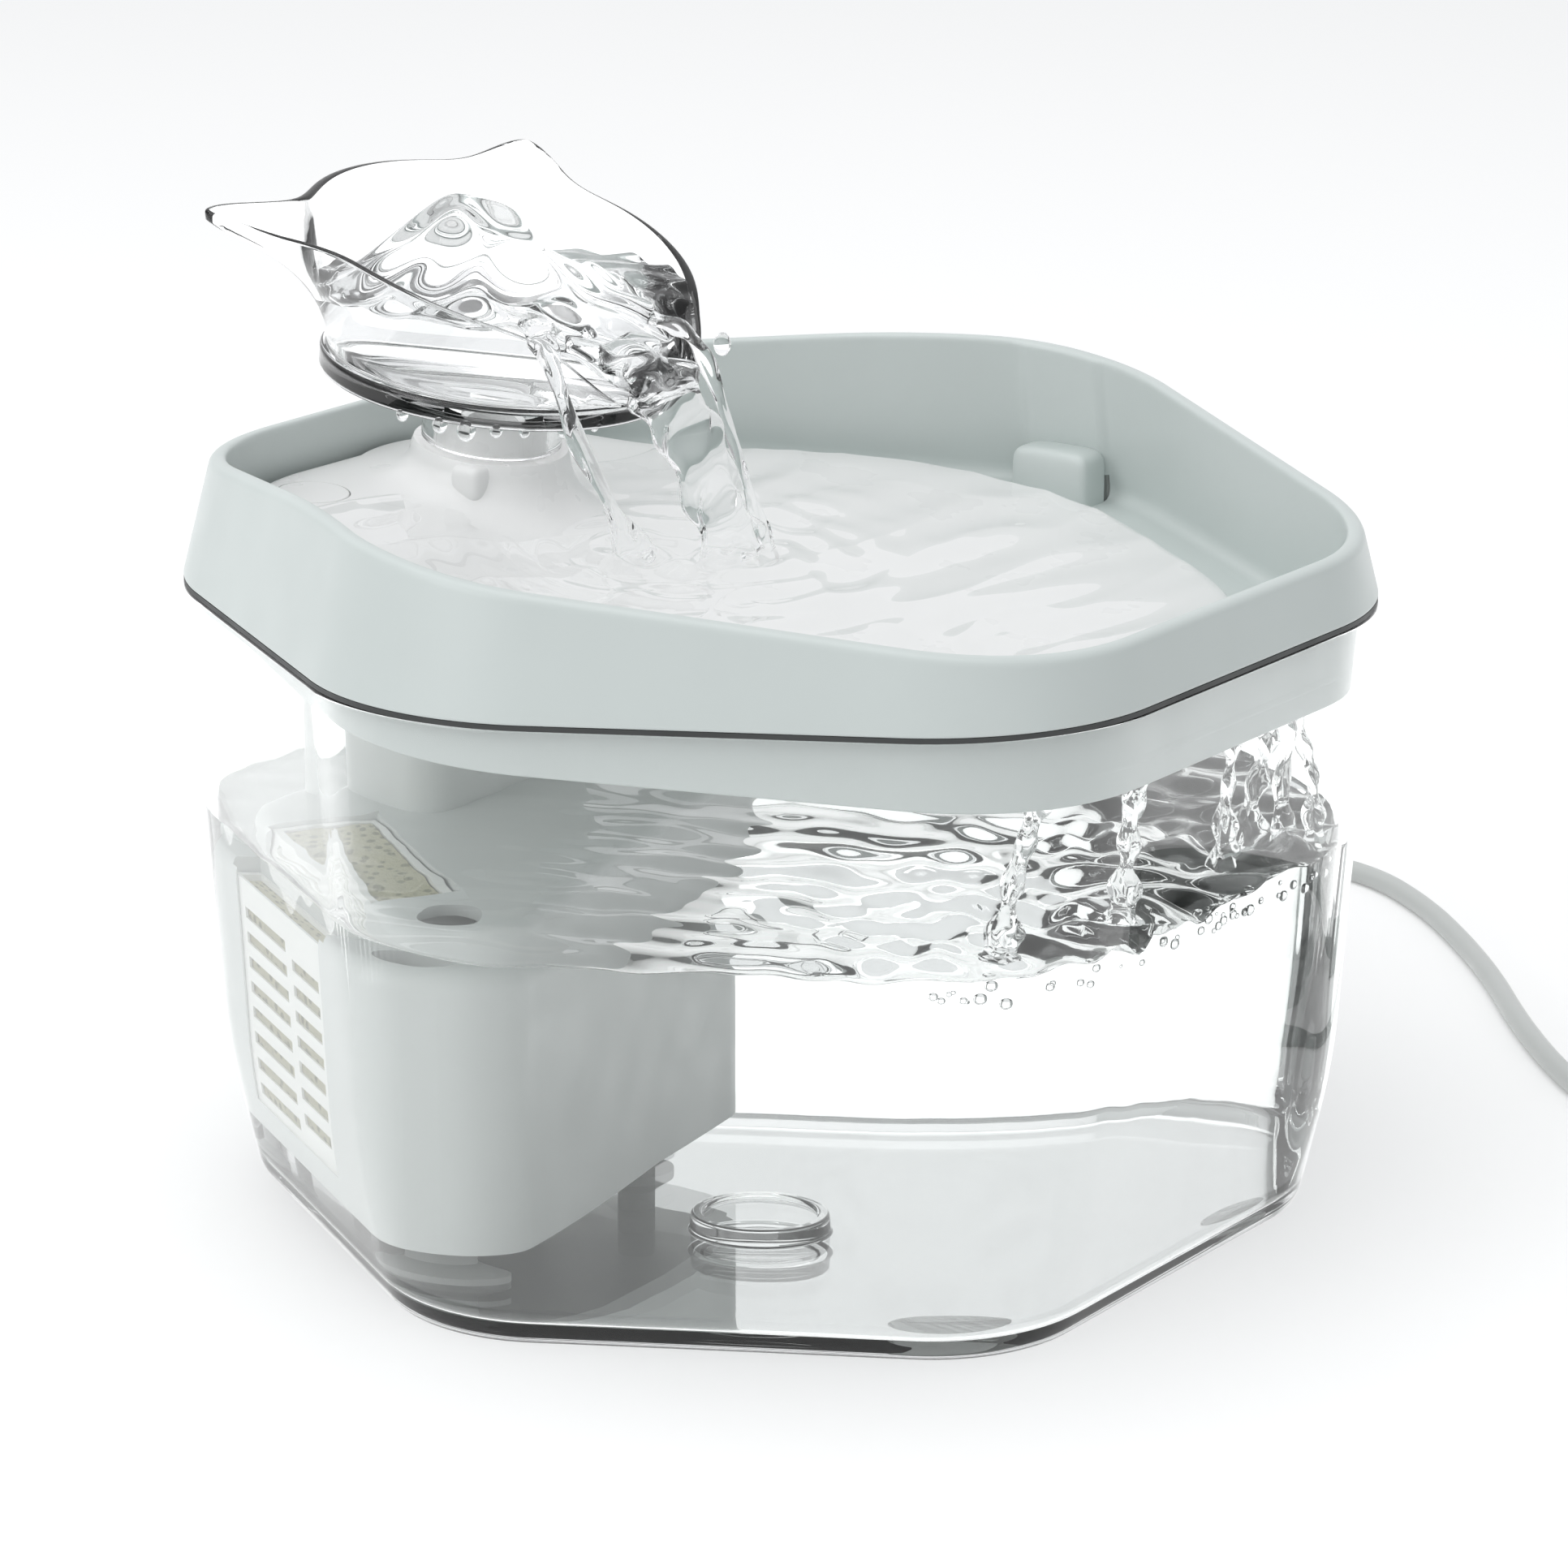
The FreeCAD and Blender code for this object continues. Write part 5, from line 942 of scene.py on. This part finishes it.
def make_bowl_water():
    """The bowl's water: rings up inside the wall to the waterline, then inwards over the surface."""
    angle = circle(360)
    rim = bowl_rim(angle, BOWL_WALL)
    inset = BOWL_WALL - OVERLAP
    reach = bowl_radius(angle, np.minimum(rim, 13.0), inset)
    cos, sin = np.cos(BOWL_TILT), np.sin(BOWL_TILT)

    def local_top(x, y):
        world = bowl_water_height(x, y)
        return (world - SEAM - BOWL_LIFT - y * sin) / cos

    x, y = reach * np.cos(angle), reach * np.sin(angle)
    edge = local_top(x, y)
    for _ in range(6):
        reach = bowl_radius(angle, np.minimum(edge, rim + 0.5), inset)
        x, y = reach * np.cos(angle), reach * np.sin(angle)
        edge = local_top(x, y)
    over = 1.2 * spout_share(angle)
    edge = np.where(edge > rim + over, rim + over, edge)
    low = BOWL_FLOOR - OVERLAP
    rings = [ring(angle, 12.0, low)]
    for share in (0.0, 0.04, 0.1, 0.2, 0.35, 0.5, 0.65, 0.8, 0.92, 1.0):
        height = low + (edge - low) * share
        radius = bowl_radius(angle, height, inset)
        rings.append(ring(angle, radius - 1.2 * (1 - min(1, share / 0.1)), height))
    for share in np.linspace(0.985, 0.02, 120):
        layer = ring(angle, reach * share, 0.0)
        top = local_top(layer[:, 0], layer[:, 1])
        hold = np.clip((1 - share) / 0.12, 0, 1)
        layer[:, 2] = edge * (1 - hold) + top * hold
        rings.append(layer)
    water = skin("bowl_water", [tilt(r) for r in rings], sharp=75)
    dress(water, WATER, "bowl")


def strand(name, points, widths, depths, across, wobble, rows, count, seed):
    """A falling strand of water: an oval carried down a smooth path, its size varying in waves."""
    line = smooth_line(points, rows)
    width = smooth_line(np.array(widths)[:, None], rows)[:, 0]
    depth = smooth_line(np.array(depths)[:, None], rows)[:, 0]
    rng = np.random.default_rng(seed)
    along = np.linspace(0, 1, rows)
    angle = circle(count)
    way = np.gradient(line, axis=0)
    way /= np.linalg.norm(way, axis=1, keepdims=True)
    side = np.asarray(across, float) - way * (way @ np.asarray(across, float))[:, None]
    side /= np.linalg.norm(side, axis=1, keepdims=True)
    third = np.cross(way, side)
    ripple = 1.0
    for k in (2, 3, 5):
        phase, turns, bend = rng.uniform(0, FULL_TURN), rng.uniform(1.5, 5), rng.uniform(-3, 3)
        ripple = ripple + wobble / k * np.sin(k * angle[None, :] + FULL_TURN * turns * along[:, None] + phase
                                              + bend * along[:, None] ** 2)
    bead = 1 + wobble * 0.6 * np.sin(FULL_TURN * rng.uniform(3, 6) * along + rng.uniform(0, 6))[:, None]
    across_part = (width[:, None] * bead * ripple * np.cos(angle))[..., None] * side[:, None, :]
    deep_part = (depth[:, None] * bead * ripple * np.sin(angle))[..., None] * third[:, None, :]
    return skin(name, line[:, None, :] + across_part + deep_part, sharp=80)


STREAMS = {
    "pour_stream_main": dict(
        points=[(-3, 32, 141.5), (-2.5, 25, 138.5), (-1.5, 20, 133), (1, 17, 124), (4, 15, 114),
                (6.5, 13.5, 105.2)],
        widths=[5.5, 7.0, 6.6, 5.6, 5.2, 6.4], depths=[1.5, 1.9, 1.6, 1.3, 1.4, 2.2],
        across=(1, -0.3, 0), wobble=0.28, rows=110, count=64, seed=4),
    "pour_stream_side": dict(
        points=[(-17, 37, 147.5), (-22, 31.5, 146.4), (-24.5, 27.5, 143), (-21, 25.5, 131), (-14, 24.5, 119),
                (-5.5, 24.5, 106)],
        widths=[2.6, 2.6, 1.8, 1.3, 1.5, 3.0], depths=[1.2, 1.3, 1.3, 1.0, 1.1, 1.9],
        across=(1, -0.4, 0), wobble=0.3, rows=90, count=40, seed=6),
    "pour_stream_thin": dict(
        points=[(9, 33, 144), (11, 28, 142.5), (11.5, 23.5, 138), (12, 19, 127), (13, 15, 115),
                (14.5, 12.5, 105)],
        widths=[1.8, 1.8, 1.4, 1.0, 1.0, 1.8], depths=[1.0, 1.1, 1.0, 0.9, 0.9, 1.5],
        across=(1, -0.3, 0), wobble=0.3, rows=80, count=32, seed=9),
}


def make_streams():
    """Streams from the spout to the deck; each starts inside the bowl's water."""
    for name, shape in STREAMS.items():
        dress(strand(name, **shape), WATER, "bowl")


FALLS = [
    ((-34.8, -76.5, 93.5), (-36.5, -74.5, 86), (-39, -73, 76), (-40.6, -72.2, 66)),
    ((-7.4, -77.5, 94), (-8.5, -75.5, 86), (-12, -76.5, 76), (-14.9, -77, 66)),
    ((12, -77.5, 94), (16, -77, 88), (18, -75, 78), (21, -73, 66)),
    ((22, -77.5, 94), (26, -77.8, 88), (27, -75, 78), (30.2, -70.6, 66)),
    ((30, -78.5, 94), (32, -79.5, 88), (35.5, -80.5, 78), (37.7, -79.8, 66)),
    ((35, -77.5, 94), (36.5, -76.5, 88), (37, -74, 77), (41, -72, 66)),
]


def make_falls():
    """Strands from the drain slot to the tank's water; every third one is thicker."""
    things = []
    for i, points in enumerate(FALLS):
        size = 1.8 if i % 3 == 0 else 1.3
        things.append(strand(f"fall_{i}", points, [size * 1.6, size, size * 0.9, size * 2.0],
                             [size, size * 0.8, size * 0.8, size * 1.6], (1, 0.2, 0), 0.4, 70, 28, 20 + i))
    dress(join("drain_strands", things), WATER, "tray")


DROPS = [
    (200, 28.5, -0.9, 1.5), (209, 28.2, -1.2, 1.9), (219, 27.5, -0.8, 1.3), (229, 27.0, -0.9, 1.1),
    (186, 28.5, -0.7, 1.2), (243, 27.4, -0.8, 1.2), (256, 27.0, -0.6, 0.9),
]


def make_drops():
    """Drops on the bowl, under its ring and on the spout; bubbles under the tank's waterline."""
    def ring_spot(angle, radius, height):
        angle = np.radians(angle)
        return tilt(np.array([radius * np.cos(angle), radius * np.sin(angle), height]))

    drops = [pebble(f"drop_{i}", ring_spot(angle, radius, height), (size * 0.85, size * 0.85, size), 2.0, 20)
             for i, (angle, radius, height, size) in enumerate(DROPS)]
    drops.append(pebble("drop_spout", ring_spot(-66, 38.0, 12.0), (1.5, 1.5, 2.0), 2.0, 24))
    dress(join("bowl_drops", drops), WATER, "bowl")
    rng = np.random.default_rng(17)
    bubbles = []
    for i in range(46):
        angle = np.radians(rng.uniform(232, 300))
        apothem = SEAM_APOTHEM - TANK_WALL - 2.9 - rng.uniform(0.6, 4.0)
        radius = hexagon_radius(angle, apothem, 36.0)
        size = rng.uniform(0.35, 1.15)
        middle = (radius * np.cos(angle), radius * np.sin(angle), WATER_LEVEL - rng.uniform(0.6, 3.4) - size)
        bubbles.append(pebble(f"bubble_{i}", middle, (size, size, size * 0.9), 2.0, 16))
    dress(join("tank_bubbles", bubbles), AIR, "tank")


# Stage

FLOOR_HALF, FLOOR_TONE, FLOOR_GLOW, MIRRORED_GLOW = 9000.0, 0.86, 0.24, 0.4
SURROUND_LIGHT, ACROSS_VIEW = 0.62, (-0.592, 0.806, 0.0)
SURROUND_TONES = [(0.0, 0.4), (0.05, 0.45), (0.13, 0.95), (0.87, 0.95), (0.95, 0.45), (1.0, 0.4)]


def make_floor():
    """A white floor that shows the object's shadow and looks brighter in mirrors and through glass."""
    n = Nodes(bpy.data.materials.new("white floor"))
    lit = n.add("ShaderNodeBsdfDiffuse", Color=(FLOOR_TONE, FLOOR_TONE, FLOOR_TONE, 1))
    behind = n.rays("Glossy", "Transmission")
    glow = n.add("ShaderNodeEmission", Color=(1, 1, 1, 1))
    n.link(n.math("MULTIPLY_ADD", behind, MIRRORED_GLOW, FLOOR_GLOW), glow.inputs["Strength"])
    both = n.tree.nodes.new("ShaderNodeAddShader")
    n.link(lit.outputs[0], both.inputs[0])
    n.link(glow.outputs[0], both.inputs[1])
    seen = n.math("MAXIMUM", n.rays("Camera"), behind)
    material = n.show(n.mix(seen, lit.outputs[0], both.outputs[0]))
    half = FLOOR_HALF * MM
    mesh = bpy.data.meshes.new("floor")
    corners = [(-half, -half, 0), (half, -half, 0), (half, half, 0), (-half, half, 0)]
    mesh.from_pydata(corners, [], [(0, 1, 2, 3)])
    mesh.materials.append(material)
    put("floor", mesh)


def make_surround():
    """White for the camera, a plain level of light for matt surfaces, darker sides for clear ones."""
    world = bpy.data.worlds.new("surround")
    bpy.context.scene.world = world
    n = Nodes(world, "Generated")
    lighting = n.add("ShaderNodeBackground", Color=(0.97, 0.985, 1.0, 1), Strength=SURROUND_LIGHT)
    shown = n.add("ShaderNodeBackground", Strength=1.0)
    aside = n.tree.nodes.new("ShaderNodeVectorMath")
    aside.operation = "DOT_PRODUCT"
    aside.inputs[1].default_value = ACROSS_VIEW
    n.link(n.place, aside.inputs[0])
    sideways = n.math("MULTIPLY_ADD", aside.outputs["Value"], 0.5, 0.5)
    tones = n.ramp(sideways, [(place, (tone, tone * 1.005, tone * 1.02)) for place, tone in SURROUND_TONES])
    pick = n.tree.nodes.new("ShaderNodeMix")
    pick.data_type = "RGBA"
    n.link(n.rays("Camera"), pick.inputs["Factor"])
    n.link(tones, pick.inputs["A"])
    pick.inputs["B"].default_value = (1, 1, 1, 1)
    n.link(pick.outputs["Result"], shown.inputs["Color"])
    n.show(n.mix(n.rays("Diffuse"), shown.outputs[0], lighting.outputs[0]), "ShaderNodeOutputWorld")


def lamp(name, place, aim, size, power):
    """A square soft lamp at a place, turned to a point."""
    data = bpy.data.lights.new(name, "AREA")
    data.shape, data.size, data.size_y, data.energy = "RECTANGLE", size, size, power
    way = (Vector(aim) - Vector(place)).to_track_quat("-Z", "Y")
    put(name, data).matrix_world = Matrix.Translation(place) @ way.to_matrix().to_4x4()


def make_stage():
    make_floor()
    make_surround()
    lamp("softbox over", (-0.2, 0.1, 1.5), (0, 0, 0.06), 1.4, 9.0)
    lamp("softbox left", (-1.5, 0.4, 0.9), (0, 0, 0.08), 1.0, 7.0)
    bpy.context.scene.view_settings.view_transform = "Standard"


NODE_FINISHES = {
    SOFT_RUBBER: ("tank_feet", "cord_gland", "suction_feet", "shaft_bushes"),
    # on rim_gasket the near-black paints the shade of the tray-tank seam as well as a seal
    SEAL_RUBBER_AND_SEAM_SHADE: ("rim_gasket", "collar_seal"),
    HOUSING_PLASTIC: ("pump_housing", "riser_tower", "housing_base"),
    BASKET_PLASTIC: ("filter_basket", "riser_tube"),
    PUMP_PLASTIC: ("pump_body", "impeller_cover", "flow_adjuster"),
    FILTER_WADDING: ("filter_medium",), INTAKE_FOAM: ("intake_foam",),
    ROTOR_PLASTIC: ("impeller",), CERAMIC: ("rotor_shaft",),
    GRIP_PLASTIC: ("usb_plug_body",), PLUG_METAL: ("usb_plug_shell",), TONGUE_PLASTIC: ("usb_plug_tongue",),
}

make_camera()
make_cords()
make_tank()
make_tray()
make_deck()
make_bowl()
make_tank_water()
make_deck_film()
make_bowl_water()
make_streams()
make_falls()
make_drops()
for finish, names in NODE_FINISHES.items():
    for node_name in names:
        dress_node(node_name, finish)
make_stage()
